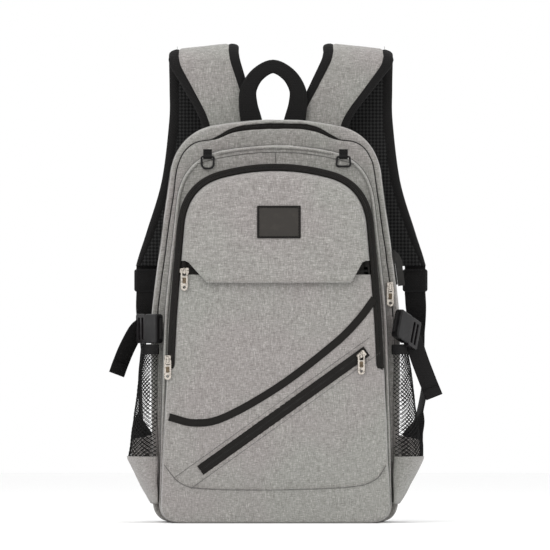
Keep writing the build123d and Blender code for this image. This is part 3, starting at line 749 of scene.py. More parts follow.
def band(name: str, centres: Points, across: Points, width: float | np.ndarray, thickness: float,
         material: Cloth, rounds: int = 3, crown: float = 0.0) -> Mesh:
    """Sweep a flat band with rounded edges along a path.

    Args:
        name: object name.
        centres: points along the middle of the band.
        across: unit vector across the band at each point.
        width: one width or one for each point.
        thickness: band thickness.
        material: its material.
        rounds: points on each rounded edge.
        crown: extra thickness in the middle, on both faces.

    Returns:
        A closed mesh object.
    """
    centres = np.asarray(centres, float)
    count = len(centres)
    widths = np.broadcast_to(width, count)
    along = np.gradient(centres, axis=0)
    along /= np.linalg.norm(along, axis=1, keepdims=True)
    across = np.broadcast_to(across, centres.shape).astype(float)
    across = across - along * np.sum(across * along, axis=1, keepdims=True)
    across /= np.linalg.norm(across, axis=1, keepdims=True)
    out = np.cross(along, across)
    rows = []
    for k in range(count):
        half, depth = widths[k] / 2, thickness / 2
        loop = []
        for side in (1, -1):
            for angle in np.linspace(-90, 90, rounds + 2):
                a = math.radians(angle)
                loop.append((side * (half - depth + depth * math.cos(a)), side * depth * math.sin(a)))
            if crown:
                for share in (0.75, 0.5, 0.25, 0.0, -0.25, -0.5, -0.75):
                    rise = crown * (1 - share ** 2)
                    loop.append((side * share * (half - depth), side * (depth + rise)))
        rows.append([centres[k] + across[k] * u + out[k] * v for u, v in loop])
    obj = surface(name, rows, material, closed=True)
    work = bmesh.new()
    work.from_mesh(obj.data)
    work.verts.ensure_lookup_table()
    size = len(rows[0])
    work.faces.new([work.verts[i] for i in range(size)])
    work.faces.new([work.verts[(count - 1) * size + i] for i in range(size)])
    work.to_mesh(obj.data)
    work.free()
    return tidy(obj, 0.000001)


def tube(name: str, points: Points, radius: float, material: Cloth, closed: bool = False,
         sides: int = 6) -> Mesh:
    """Sweep a small round section along points.

    Args:
        name: name of the object.
        points: points along the path, in metres.
        radius: radius in metres.
        material: its material.
        closed: whether the line closes on itself.
        sides: sides of the section.

    Returns:
        The mesh object.
    """
    points = np.asarray(points, float)
    if closed:
        along = np.roll(points, -1, axis=0) - np.roll(points, 1, axis=0)
    else:
        along = np.gradient(points, axis=0)
    along /= np.linalg.norm(along, axis=1, keepdims=True)
    guide = np.array([0.31, 0.94, 0.13])
    first = np.cross(along, guide)
    first /= np.linalg.norm(first, axis=1, keepdims=True)
    second = np.cross(along, first)
    rows = [points + radius * (first * math.cos(a) + second * math.sin(a))
            for a in np.linspace(0, 2 * math.pi, sides, endpoint=False)]
    rows = np.array(rows + rows[:1]).transpose(1, 0, 2)
    if closed:
        rows = np.vstack([rows, rows[:1]])
    obj = surface(name, list(rows), material)
    tidy(obj, 0.000001)
    if not closed:
        modify(obj, "WELD", merge_threshold=0.000001)
        cap_holes(obj)
    return obj


def cap_holes(obj: Mesh) -> None:
    """Close every open edge loop of a mesh.

    Args:
        obj: mesh object.
    """
    work = bmesh.new()
    work.from_mesh(obj.data)
    bmesh.ops.holes_fill(work, edges=[e for e in work.edges if e.is_boundary], sides=64)
    bmesh.ops.recalc_face_normals(work, faces=work.faces)
    work.to_mesh(obj.data)
    work.free()


# ---------------------------------------------------------------- repeats along a line
class Repeater:
    """Geometry Nodes group that sets copies of one small mesh along a line."""

    def __init__(self) -> None:
        """Set up what the methods below share."""
        self.tree = bpy.data.node_groups.new("repeat_along_line", "GeometryNodeTree")
        face = self.tree.interface
        face.new_socket("Line", in_out="INPUT", socket_type="NodeSocketGeometry")
        face.new_socket("Unit", in_out="INPUT", socket_type="NodeSocketObject")
        face.new_socket("Pitch", in_out="INPUT", socket_type="NodeSocketFloat")
        face.new_socket("Outward", in_out="INPUT", socket_type="NodeSocketVector")
        face.new_socket("Material", in_out="INPUT", socket_type="NodeSocketMaterial")
        face.new_socket("Copies", in_out="OUTPUT", socket_type="NodeSocketGeometry")
        given = self.add("NodeGroupInput")
        spaced_line = self.add("GeometryNodeResampleCurve", {"mode": "LENGTH"})
        self.link(given, "Line", spaced_line, "Curve")
        self.link(given, "Pitch", spaced_line, "Length")
        tangent = self.add("GeometryNodeInputTangent")
        turn = self.add("FunctionNodeAlignRotationToVector", {"axis": "X"})
        self.link(tangent, "Tangent", turn, "Vector")
        face_out = self.add("FunctionNodeAlignRotationToVector", {"axis": "Z", "pivot_axis": "X"})
        self.link(turn, "Rotation", face_out, "Rotation")
        self.link(given, "Outward", face_out, "Vector")
        unit = self.add("GeometryNodeObjectInfo")
        self.link(given, "Unit", unit, "Object")
        copies = self.add("GeometryNodeInstanceOnPoints")
        self.link(spaced_line, "Curve", copies, "Points")
        self.link(unit, "Geometry", copies, "Instance")
        self.link(face_out, "Rotation", copies, "Rotation")
        real = self.add("GeometryNodeRealizeInstances")
        self.link(copies, "Instances", real, "Geometry")
        paint = self.add("GeometryNodeSetMaterial")
        self.link(real, "Geometry", paint, "Geometry")
        self.link(given, "Material", paint, "Material")
        result = self.add("NodeGroupOutput")
        self.link(paint, "Geometry", result, "Copies")

    def add(self, kind: str, props: dict | None = None) -> bpy.types.Node:
        """Add one node to the group.

        Args:
            kind: type of the modifier or node.
            props: attributes to set on the node.

        Returns:
            The new node.
        """
        node = self.tree.nodes.new(kind)
        for key, value in (props or {}).items():
            setattr(node, key, value)
        return node

    def link(self, start: bpy.types.Node, output: str, end: bpy.types.Node, entry: str) -> None:
        """Join an output to an input by name."""
        self.tree.links.new(start.outputs[output], end.inputs[entry])

    def run(self, name: str, points: Points, unit: Mesh, pitch: float, facing: Points,
            material: Cloth) -> Mesh:
        """Set copies of unit along points.

        Args:
            name: name of the new object.
            points: the line to follow.
            unit: small object to copy, whose x runs along the line.
            pitch: distance between copies.
            facing: direction that the unit's z turns to.
            material: material of the copies.

        Returns:
            A mesh object that holds every copy.
        """
        curve = bpy.data.curves.new(name + "_line", "CURVE")
        curve.dimensions = "3D"
        spline = curve.splines.new("POLY")
        spline.points.add(len(points) - 1)
        for target, point in zip(spline.points, points):
            target.co = (*point, 1.0)
        line = bpy.data.objects.new(name + "_line", curve)
        bpy.context.scene.collection.objects.link(line)
        item = line.modifiers.new("repeat", "NODES")
        item.node_group = self.tree
        values = {"Unit": unit, "Pitch": pitch, "Outward": tuple(facing), "Material": material}
        for socket in self.tree.interface.items_tree:
            if socket.in_out == "INPUT" and socket.name in values:
                item[socket.identifier] = values[socket.name]
        bpy.context.view_layer.update()
        graph = bpy.context.evaluated_depsgraph_get()
        mesh = bpy.data.meshes.new_from_object(line.evaluated_get(graph))
        bpy.data.objects.remove(line)
        return new_object(name, mesh)


def stitch_unit(thread: Thread) -> Mesh:
    """One stitch: a short thread with tapered ends.

    Args:
        thread: sizes of the stitch.

    Returns:
        The mesh object.
    """
    line = [(x * thread.length / 2, 0, 0) for x in (-1.0, -0.8, 0.0, 0.8, 1.0)]
    size = [0.35, 0.9, 1.0, 0.9, 0.35]
    rows = []
    for (x, _, _), share in zip(line, size):
        rows.append([(x, thread.radius * share * math.cos(a), thread.radius * share * math.sin(a))
                     for a in np.linspace(0, 2 * math.pi, 6, endpoint=False)])
    obj = surface("stitch_unit", rows, None, closed=True)
    cap_holes(obj)
    return obj


def tooth_unit(width: float, length: float, height: float) -> Mesh:
    """One turn of a coil zip: a small rounded bar across the line.

    Args:
        width: width in metres.
        length: length in metres.
        height: height in metres.

    Returns:
        The mesh object.
    """
    rows = []
    for y, share in ((-1.0, 0.55), (-0.75, 1.0), (0.75, 1.0), (1.0, 0.55)):
        rows.append([(length / 2 * share * math.cos(a), y * width / 2, height * share * math.sin(a))
                     for a in np.linspace(0, 2 * math.pi, 8, endpoint=False)])
    obj = surface("tooth_unit", rows, None, closed=True)
    cap_holes(obj)
    return obj


class Workshop:
    """What every sub-assembly shares: the frame, the materials and the repeat tools."""

    def __init__(self, frame: dict) -> None:
        """Set up what the methods below share.

        Args:
            frame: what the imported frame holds.
        """
        self.frame = frame
        self.looks = make_looks()
        self.repeater = Repeater()
        self.stitch = stitch_unit(STITCH)
        self.tooth = tooth_unit(0.0030, 0.0009, 0.0005)

    def paint(self, node: str, look: Look) -> None:
        """Give a CAD node its material.

        Args:
            node: name of the CAD node.
            look: which material this is.
        """
        obj = self.frame["nodes"][node]
        obj.data.materials.clear()
        obj.data.materials.append(self.looks[look])
        for polygon in obj.data.polygons:
            polygon.material_index = 0

    def sew(self, name: str, points: Points, facing: Points, slot: str,
            look: Look = Look.THREAD_GREY) -> Mesh:
        """Lay a row of stitches along points.

        Args:
            name: name of the object.
            points: points along the path, in metres.
            facing: direction that the copies face.
            slot: name of a material slot; not used.
            look: which material this is.

        Returns:
            The mesh object.
        """
        row = self.repeater.run(name, points, self.stitch, STITCH.pitch, facing, self.looks[look])
        return row

    def coil(self, name: str, points: Points, facing: Points) -> Mesh:
        """Lay a row of zip teeth along points.

        Args:
            name: name of the object.
            points: points along the path, in metres.
            facing: direction that the copies face.

        Returns:
            The mesh object.
        """
        row = self.repeater.run(name, points, self.tooth, 0.0016, facing, self.looks[Look.TEETH])
        return row

    def crease(self, name: str, points: Points, closed: bool = False, radius: float = 0.0005) -> Mesh:
        """Mark a seam by a thin sunk cord of the same cloth, darkened: painted shade in the seam's crease.

        Args:
            name: name of the object.
            points: points along the path, in metres.
            closed: whether the line closes on itself.
            radius: radius in metres.

        Returns:
            The mesh object.
        """
        line = tube(name, points, radius, self.looks[Look.HEATHER_SEAM_SHADE], closed)
        return line

    def clear(self) -> None:
        """Remove the small meshes that were only copied."""
        for obj in (self.stitch, self.tooth):
            bpy.data.objects.remove(obj)


# ---------------------------------------------------------------- shells of the three sections
class Shells:
    """The grey cloth skins of the rear, front and pocket sections, with their seams and piping."""

    def __init__(self, shop: Workshop) -> None:
        """Set up what the methods below share."""
        self.shop = shop
        self.cloth = shop.looks[Look.HEATHER]

    def skin(self, name: str, arch: Arch, profile: Sequence, replaced: Sequence[str], bulge: float = 0.0012,
             close: bool = False) -> Mesh:
        """Loft a ring skin through (inset, y) pairs that run from back to front.

        Args:
            name: object name.
            arch: outline of the section.
            profile: (inset, depth) pairs in metres.
            replaced: CAD nodes that the skin stands for.
            bulge: depth of the soft waves in the cloth.
            close: whether the front is filled to its middle.

        Returns:
            The skin, riding on the bag.
        """
        ring = outline(arch)
        normal = outward(ring)
        rows = []
        for drawn_in, y in profile:
            row = upright(ring - normal * np.asarray(drawn_in).reshape(-1, 1), y)
            for k, point in enumerate(row):
                soft = bulge * min(1.0, point[2] / 0.03)
                push = soft * wave(point, 0.045, 3.1) + 0.35 * soft * wave(point, 0.014, 9.4)
                row[k] = point + np.array([normal[k][0], 0, normal[k][1]]) * push
            row[:, 2] = np.maximum(row[:, 2], 0.0)
            rows.append(row)
        if close:
            last = rows[-1]
            middle = last.mean(axis=0)
            rows += [middle + (last - middle) * share for share in np.linspace(0.93, 0.02, 18)]
        obj = surface(name, rows, self.cloth, closed=True)
        if close:
            cap_inner(obj)
        thicken(obj, 0.0012)
        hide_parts(*replaced)
        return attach(obj, BAG)

    def build(self) -> None:
        """Build the three skins and everything sewn on their edges."""
        depth = np.linspace(0.0805, 0.0045, 22)
        rear = [(0.010, 0.0849), (0.005, 0.0848), (0.002, 0.0842), (0.0006, 0.0830)]
        rear += [(-0.0007 * math.sin(math.pi * (0.085 - y) / 0.085), y) for y in depth]
        slit, line = self.slit(outline(REAR)), zip_line(outline(REAR))
        rear += [(0.0, 0.0015), (0.0003, -0.0002), (0.0011, -0.0013), (0.0026, -0.0017),
                 (line - slit - 0.0010, -0.0017), (line - slit - 0.0003, -0.0012), (line - slit, 0.0004),
                 (line + slit, 0.0004), (line + slit + 0.0003, -0.0012), (line + slit + 0.0010, -0.0017),
                 (line + slit + 0.0060, -0.0016), (0.0270, -0.0012), (0.0330, -0.0012)]
        self.skin("rear_skin", REAR, rear, ("rear_gusset", "main_front_panel"))
        depth = np.linspace(-0.001, -0.0405, 13)
        front = [(0.0, 0.0005)] + [(-0.0008 * math.sin(math.pi * y / -0.045), y) for y in depth]
        front += [(0.0002, -0.0430), (0.0010, -0.0445), (0.0022, -0.0450), (0.0060, -0.0450),
                  (0.0120, -0.0450), (0.0200, -0.0450), (0.0280, -0.0450)]
        self.skin("front_skin", FRONT, front, ("front_gusset", "front_section_panel"), 0.0007, True)
        depth = np.linspace(-0.0452, -0.0765, 13)
        pocket = [(-0.0009 * math.sin(math.pi * (y + 0.045) / -0.032), y) for y in depth]
        self.skin("pocket_skin", POCKET, pocket, ("pocket_gusset",), 0.0009)
        self.piping()
        self.seams()

    @staticmethod
    def slit(ring: np.ndarray) -> np.ndarray:
        """Half width of the main zip's opening: nearly shut on the sides, a lens over the crown."""
        lens = np.clip(1 - (ring[:, 0] / 0.080) ** 2, 0, 1) ** 0.7 * (ring[:, 1] > 0.4)
        return np.where(ring[:, 1] > 0.243, 0.0004, 0.0001) + 0.0034 * lens

    def piping(self) -> None:
        """Piping round the front section, open where the D-ring tabs are sewn in."""
        ring = upright(inset(outline(FRONT, 700), 0.0016), -0.0462)
        ring = np.roll(ring, -10, axis=0)
        runs = {"piping_right": (ring[:, 0] > 0.0935) & (ring[:, 2] > 0.034),
                "piping_crown": (np.abs(ring[:, 0]) < 0.0690) & (ring[:, 2] > 0.3),
                "piping_left": (ring[:, 0] < -0.0935) & (ring[:, 2] > 0.034)}
        parts = [tube(name, ring[keep], 0.0017, self.cloth, sides=10) for name, keep in runs.items()]
        piping = join("front_piping_cord", parts)
        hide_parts("front_piping")
        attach(piping, BAG)
        for name, keep in runs.items():
            line = ring[keep] + [0, 0.0018, 0] - outward_3d(ring)[keep] * 0.0042
            row = self.shop.sew(name + "_stitches", line,
                                (0, -1, 0), "heather_polyester")
            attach(row, BAG)

    def seams(self) -> None:
        """Creases of the front section and of the gussets."""
        arc = [(x, -0.0453, 0.4415 - 0.016 * (x / 0.1) ** 2) for x in np.linspace(-0.097, 0.097, 60)]
        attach(self.shop.crease("crown_seam", arc), BAG)
        middle = [(0, -0.0453, z) for z in np.linspace(0.4295, 0.4412, 8)]
        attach(self.shop.crease("crown_middle_seam", middle), BAG)
        for name, arch, y, z_low in (("rear", REAR, 0.0700, 0.02), ("front", FRONT, -0.0370, 0.02),
                                     ("pocket", POCKET, -0.0490, 0.02)):
            ring = upright(inset(outline(arch), -0.0011), y)
            for side, sign in SIDES.items():
                run = ring[(ring[:, 0] * sign > 0.02) & (ring[:, 2] > z_low)]
                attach(self.shop.crease(f"{name}_gusset_seam_{side}", run), BAG)


def outward_3d(ring: np.ndarray) -> np.ndarray:
    """Outward normals of an upright ring, in three dimensions."""
    flat = outward(ring[:, [0, 2]])
    return np.column_stack([flat[:, 0], np.zeros(len(flat)), flat[:, 1]])


def cap_inner(obj: Mesh) -> None:
    """Fill the small hole that is left in the middle of a ringed face.

    Args:
        obj: mesh object.
    """
    work = bmesh.new()
    work.from_mesh(obj.data)
    edges = [e for e in work.edges if e.is_boundary]
    middle = sum((v.co for v in work.verts), Vector()) / len(work.verts)
    near = [e for e in edges if (e.verts[0].co.xz - Vector((0, middle.z))).length < 0.03]
    bmesh.ops.holes_fill(work, edges=near, sides=2000)
    work.to_mesh(obj.data)
    work.free()


# ---------------------------------------------------------------- the front panel
class FrontPanel:
    """The panel inside the arch zip: it folds forward at its waist, and a storm flap hangs over its zip."""

    fold = {"start": (0, BODY.face_y, BODY.fold_low), "end": (0, BODY.face_y, BODY.fold_high)}

    def __init__(self, shop: Workshop) -> None:
        """Set up what the methods below share.

        Args:
            shop: workshop that makes the pieces.
        """
        self.shop = shop
        self.cloth = shop.looks[Look.HEATHER]
        self.foot = (-0.0887, 0.063)
        self.head = (0.1077, 0.204)

    def ring(self, extra: float = 0.0) -> np.ndarray:
        """Edge of the panel: inside the tape where the zip runs, and at the outline below it.

        Args:
            extra: how far it stands out, in metres.

        Returns:
            The points, as an array of rows.
        """
        ring = outline(POCKET)
        share = np.clip((ring[:, 1] - 0.181) / 0.006, 0, 1)
        share = share * share * (3 - 2 * share)
        return ring - outward(ring) * (BODY.tape_width * share + extra)[:, None]

    def on_strip(self, x: float, z: float) -> float:
        """Distance from the middle line of the slanted zip, or a large number beyond its ends.

        Args:
            x: place across the bag.
            z: height above the ground.

        Returns:
            The distance, in metres.
        """
        run = np.array(self.head) - np.array(self.foot)
        length = np.linalg.norm(run)
        along = run / length
        rest = np.array([x, z]) - np.array(self.foot)
        at = rest @ along
        if at < -0.001 or at > length + 0.001:
            return 1.0
        return abs(rest[1] * along[0] - rest[0] * along[1])

    def face(self, rows_in: Sequence, y: float, shape: Callable) -> list:
        """Add rings that close a face to its middle.

        Args:
            rows_in: rows so far.
            y: depth of the face.
            shape: function from (x, z, share) to the depth at that point.

        Returns:
            The rows with the face's rings.
        """
        last = rows_in[-1]
        middle = np.array([0.0, y, 0.225])
        for share in np.concatenate([np.linspace(0.985, 0.90, 7), np.linspace(0.875, 0.02, 42)]):
            row = middle + (last - middle) * share
            row[:, 1] = [shape(p[0], p[2], share) for p in row]
            rows_in.append(row)
        return rows_in

    def lower_depth(self, x: float, z: float, share: float) -> float:
        """Depth of the lower cloth: nearly flat, sunk under the zip tape, with puckers near its rim.

        Args:
            x: place across the bag.
            z: height above the ground.
            share: share from 0 to 1.

        Returns:
            Depth of the surface there, in metres.
        """
        y = BODY.face_y + 0.0005 * wave((x, 0, z), 0.05, 5.0)
        y += 0.0005 * wave((x, 0, z), 0.012, 8.0) * max(0.0, share - 0.8) * 5
        if self.on_strip(x, z) < 0.0058:
            y = BODY.face_y + 0.0019
        return y

    def upper_depth(self, x: float, z: float, share: float) -> float:
        """Depth of the upper cloth: a soft pillow with a few shallow folds.

        Args:
            x: place across the bag.
            z: height above the ground.
            share: share from 0 to 1.

        Returns:
            Depth of the surface there, in metres.
        """
        fold = 0.0008 * wave((x, 0, z * 1.6), 0.06, 2.0) + 0.0003 * wave((x, 0, z), 0.014, 4.0)
        puff = 0.0006 * math.sin(math.pi * min(1.0, (1 - share) * 2))
        return BODY.outer_y - puff + fold * (1 - share) ** 0.3

    def build(self) -> None:
        """Build every piece of the panel."""
        self.lower()
        self.base()
        self.upper()
        self.lining()
        self.arch_tape()
        self.slanted_zip()
        self.swoosh()
        self.patch()
        self.shop.paint("flap_zip_tape", Look.TAPE)
        row = [(x, BODY.face_y - 0.0004, 0.300) for x in np.linspace(-0.110, 0.110, 4)]
        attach(self.shop.coil("flap_zip_teeth", row, (0, -1, 0)), PANEL)

    def lower(self) -> None:
        """The lower cloth, from the base up to the zip under the flap."""
        rows = [upright(self.ring(d), y) for d, y in (
            (0.0, -0.0765), (0.0, -0.0785), (0.0, -0.0805), (0.0001, -0.0822), (0.0006, -0.0837),
            (0.0016, -0.0846), (0.0030, -0.0850))]
        obj = surface("lower_cloth", self.face(rows, BODY.face_y, self.lower_depth), self.cloth, closed=True)
        cap_inner(obj)
        cut(obj, (0, 0, BODY.pocket_top_z), (0, 0, 1))
        thicken(obj, 0.0012)
        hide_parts("front_panel_lower")
        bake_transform(obj)
        ends = ((-0.1327, 0.069), (-0.1136, 0.0476), (-0.084, 0.0405), (0.005, 0.0393), (0.089, 0.0428),
                (0.1184, 0.0512), (0.1315, 0.068))
        seam = smooth_path([(x, BODY.face_y - 0.0001, z) for x, z in ends], 0.003)
        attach(self.shop.crease("base_panel_seam", seam), BAG)
        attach(self.shop.sew("base_panel_stitches", seam + [0, -0.0004, 0.0022], (0, -1, 0),
                              "heather_polyester"), BAG)

    def base(self) -> None:
        """The tier behind the storm flap, round the zip."""
        rows = [upright(self.ring(d), y) for d, y in (
            (0.0, -0.0765), (0.0, -0.0800), (0.0001, -0.0822), (0.0010, -0.0842), (0.0030, -0.0850),
            (0.0078, -0.0850))]
        parts = []
        for name, low, high in (("side", BODY.pocket_top_z, 0.3045), ("top", 0.3045, 0.3160)):
            obj = surface("flap_base_" + name, list(rows), self.shop.looks[Look.TAPE], closed=True)
            cut(obj, (0, 0, low), (0, 0, -1))
            cut(obj, (0, 0, high), (0, 0, 1))
            parts.append(obj)
        half = POCKET.half_at(0.31) - BODY.tape_width - 0.0070
        sheet = [[(x, BODY.face_y, z) for x in np.linspace(half, -half, 30)]
                 for z in (0.3160, 0.3100, 0.3045)]
        parts.append(surface("flap_base_sheet", sheet, self.shop.looks[Look.TAPE]))
        obj = join("flap_base", parts)
        tidy(obj)
        thicken(obj, 0.0011)
        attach(obj, PANEL)

    def upper(self) -> None:
        """The upper cloth and the storm flap, one piece of cloth folded at the flap's root."""
        rows = [upright(self.ring(d), y) for d, y in (
            (0.0002, -0.0765), (0.0, -0.0800), (0.0001, -0.0830), (0.0008, -0.0858), (0.0022, -0.0884),
            (0.0042, -0.0904), (0.0068, -0.0917), (0.0098, -0.0923))]
        rows = self.face(rows, BODY.outer_y, self.upper_depth)
        obj = surface("upper_cloth", rows, self.cloth, closed=True)
        cap_inner(obj)
        cut(obj, (0, 0, BODY.flap_hinge_z), (0, 0, -1))
        self.hang_flap(obj)
        thicken(obj, 0.0012)
        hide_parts("front_panel_upper", "storm_flap")
        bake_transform(obj)
        edge = [(x, BODY.outer_y - 0.0003, BODY.flap_edge_z + 0.0030) for x in (BODY.flap_left + 0.002,
                                                                             BODY.flap_right - 0.002)]
        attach(self.shop.sew("flap_edge_stitches", edge, (0, -1, 0), "heather_polyester"), FLAP)

    def hang_flap(self, obj: Mesh) -> None:
        """Extend the front of the cut edge downward into the flap.

        Args:
            obj: mesh object.
        """
        work = bmesh.new()
        work.from_mesh(obj.data)
        root = BODY.flap_hinge_z
        edges = [e for e in work.edges if e.is_boundary
                 and all(abs(v.co.z - root) < 0.00005 and v.co.y < -0.0898 for v in e.verts)]
        spread = [v.co.x for e in edges for v in e.verts]
        old_left, old_right = min(spread), max(spread)
        for z in np.linspace(root - 0.0022, BODY.flap_edge_z, 12):
            made = bmesh.ops.extrude_edge_only(work, edges=edges)["geom"]
            verts = [g for g in made if isinstance(g, bmesh.types.BMVert)]
            edges = [g for g in made if isinstance(g, bmesh.types.BMEdge)]
            share = max(0.0, (BODY.flap_side_z - z) / (BODY.flap_side_z - BODY.flap_edge_z))
            root_half = POCKET.half_at(root) - 0.0165
            left = -root_half + (BODY.flap_left + root_half) * share
            right = root_half + (BODY.flap_right - root_half) * share
            for v in verts:
                at = (v.co.x - old_left) / (old_right - old_left)
                v.co.x = left + at * (right - left)
                v.co.z = z
                v.co.y = BODY.outer_y + 0.0002 - 0.0004 * wave((v.co.x, 0, z), 0.03, 6.0)
            old_left, old_right = left, right
        bmesh.ops.recalc_face_normals(work, faces=work.faces)
        if sum(f.normal.y for f in work.faces) > 0:
            bmesh.ops.reverse_faces(work, faces=work.faces)
        work.to_mesh(obj.data)
        work.free()

    def lining(self) -> None:
        """Lining on the inner side of the panel."""
        ring = self.ring(0.0012)
        last = upright(ring, -0.0770)
        middle = np.array([0, -0.0770, 0.225])
        rows = [middle + (last - middle) * share for share in np.linspace(1.0, 0.02, 40)]
        obj = surface("panel_lining", rows, self.shop.looks[Look.LINING], closed=True)
        cap_inner(obj)
        thicken(obj, 0.0008)
        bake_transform(obj)

    def arch_tape(self) -> None:
        """Two halves of the arch zip's tape with the coil between them."""
        halves = (("arch_tape_outer", -0.0012, 0.0030), ("arch_tape_inner", 0.0033, 0.0072))
        ring = outline(POCKET)
        for name, near, far in halves:
            mid = (near + far) / 2
            rows = [upright(inset(ring, d), y) for d, y in (
                (near, -0.0768), (near, -0.0842), (near + 0.0005, -0.0851), (mid, -0.0855),
                (far - 0.0005, -0.0851), (far, -0.0842), (far, -0.0768))]
            obj = surface(name, rows, self.shop.looks[Look.TAPE], closed=True)
            cut(obj, (0, 0, 0.184), (0, 0, -1))
            thicken(obj, 0.0005)
            if name == "arch_tape_outer":
                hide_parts("arch_zip_tape")
                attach(obj, BAG)
            else:
                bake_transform(obj)
        line = upright(inset(outline(POCKET, 900), 0.00315), -0.0848)
        line = np.roll(line, -5, axis=0)
        line = line[line[:, 2] > 0.185]
        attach(self.shop.coil("arch_zip_teeth", line, (0, -1, 0)), BAG)

    def slanted_zip(self) -> None:
        """Welt lips, stitches and coil of the slanted pocket zip."""
        self.shop.paint("diagonal_zip_tape", Look.TAPE)
        foot, head = np.array(self.foot), np.array(self.head)
        along = (head - foot) / np.linalg.norm(head - foot)
        aside = np.array([-along[1], along[0]])
        y = BODY.face_y
        for name, way in (("upper", 1), ("lower", -1)):
            start = foot - along * 0.001 + aside * way * 0.0035
            end = head + along * 0.001 + aside * way * 0.0035
            line = [(*(start + (end - start) * t),) for t in np.linspace(0, 1, 60)]
            path = np.array([(x, y + 0.0003, z) for x, z in line])
            lip = band(f"welt_lip_{name}", path, (-along[1], 0, along[0]), 0.0061, 0.0009,
                       self.shop.looks[Look.TAPE])
            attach(lip, BAG)
            flat = np.array([along[0], 0, along[1]])
            up = np.array([aside[0], 0, aside[1]]) * way
            before = 0.030 if way > 0 else 0.022
            seam = np.vstack([path[:1] - flat * before, path, path[-1:] + flat * 0.012])
            seam = spaced(seam + up * 0.0075 - [0, 0.0004, 0], 60)
            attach(self.shop.crease(f"welt_seam_{name}", seam, radius=0.0003), BAG)
            shift = up * 0.0052 - np.array([0, 0.0007, 0])
            row = self.shop.sew(f"welt_stitches_{name}", path + shift, (0, -1, 0), "heather_polyester")
            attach(row, BAG)
        teeth = [(*foot, y), (*head, y)]
        teeth = [(x, y + 0.0002, z) for x, z, _ in teeth]
        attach(self.shop.coil("slanted_zip_teeth", teeth, (0, -1, 0)), BAG)

    def swoosh(self) -> None:
        """The long tape that rises across the front, stitched along both edges."""
        turns = ((-0.1266, 0.126), (-0.096, 0.119), (-0.060, 0.126), (0.005, 0.163), (0.070, 0.213),
                 (0.099, 0.242), (0.1178, 0.267))
        path = smooth_path([(x, BODY.face_y - 0.0006, z) for x, z in turns], 0.003)
        along = np.gradient(path, axis=0)
        across = np.column_stack([-along[:, 2], np.zeros(len(path)), along[:, 0]])
        obj = band("swoosh_band", path, across, 0.009, 0.0010, self.shop.looks[Look.TAPE])
        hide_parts("swoosh_tape")
        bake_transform(obj)
        across /= np.linalg.norm(across, axis=1, keepdims=True)
        for name, way in (("upper", 1), ("lower", -1)):
            line = (path + across * way * 0.0034 + [0, -0.0006, 0])[:-5]
            row = self.shop.sew(f"swoosh_stitches_{name}", line,
                                (0, -1, 0), "zip_tape", Look.THREAD_DARK)
            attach(row, BAG)

    def patch(self) -> None:
        """The label patch with a turned border and its stitches."""
        self.shop.paint("label_patch", Look.LEATHER)
        low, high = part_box("label_patch")
        y = low.y
        corners = [(low.x, low.z), (high.x, low.z), (high.x, high.z), (low.x, high.z)]
        middle = Vector(((low.x + high.x) / 2, (low.z + high.z) / 2))
        edge = [(middle.x + (x - middle.x) * 0.955, y - 0.0001, middle.y + (z - middle.y) * 0.94)
                for x, z in corners]
        ring = spaced(np.array(edge), 80, True)
        border = tube("patch_border", ring, 0.0010, self.shop.looks[Look.TAPE], True)
        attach(border, PANEL)
        inner = [(middle.x + (x - middle.x) * 0.90, y - 0.0002, middle.y + (z - middle.y) * 0.87)
                 for x, z in corners]
        row = self.shop.sew("patch_stitches", spaced(np.array(inner + inner[:1]), 60), (0, -1, 0),
                            "patch_leather", Look.THREAD_DARK)
        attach(row, PANEL)


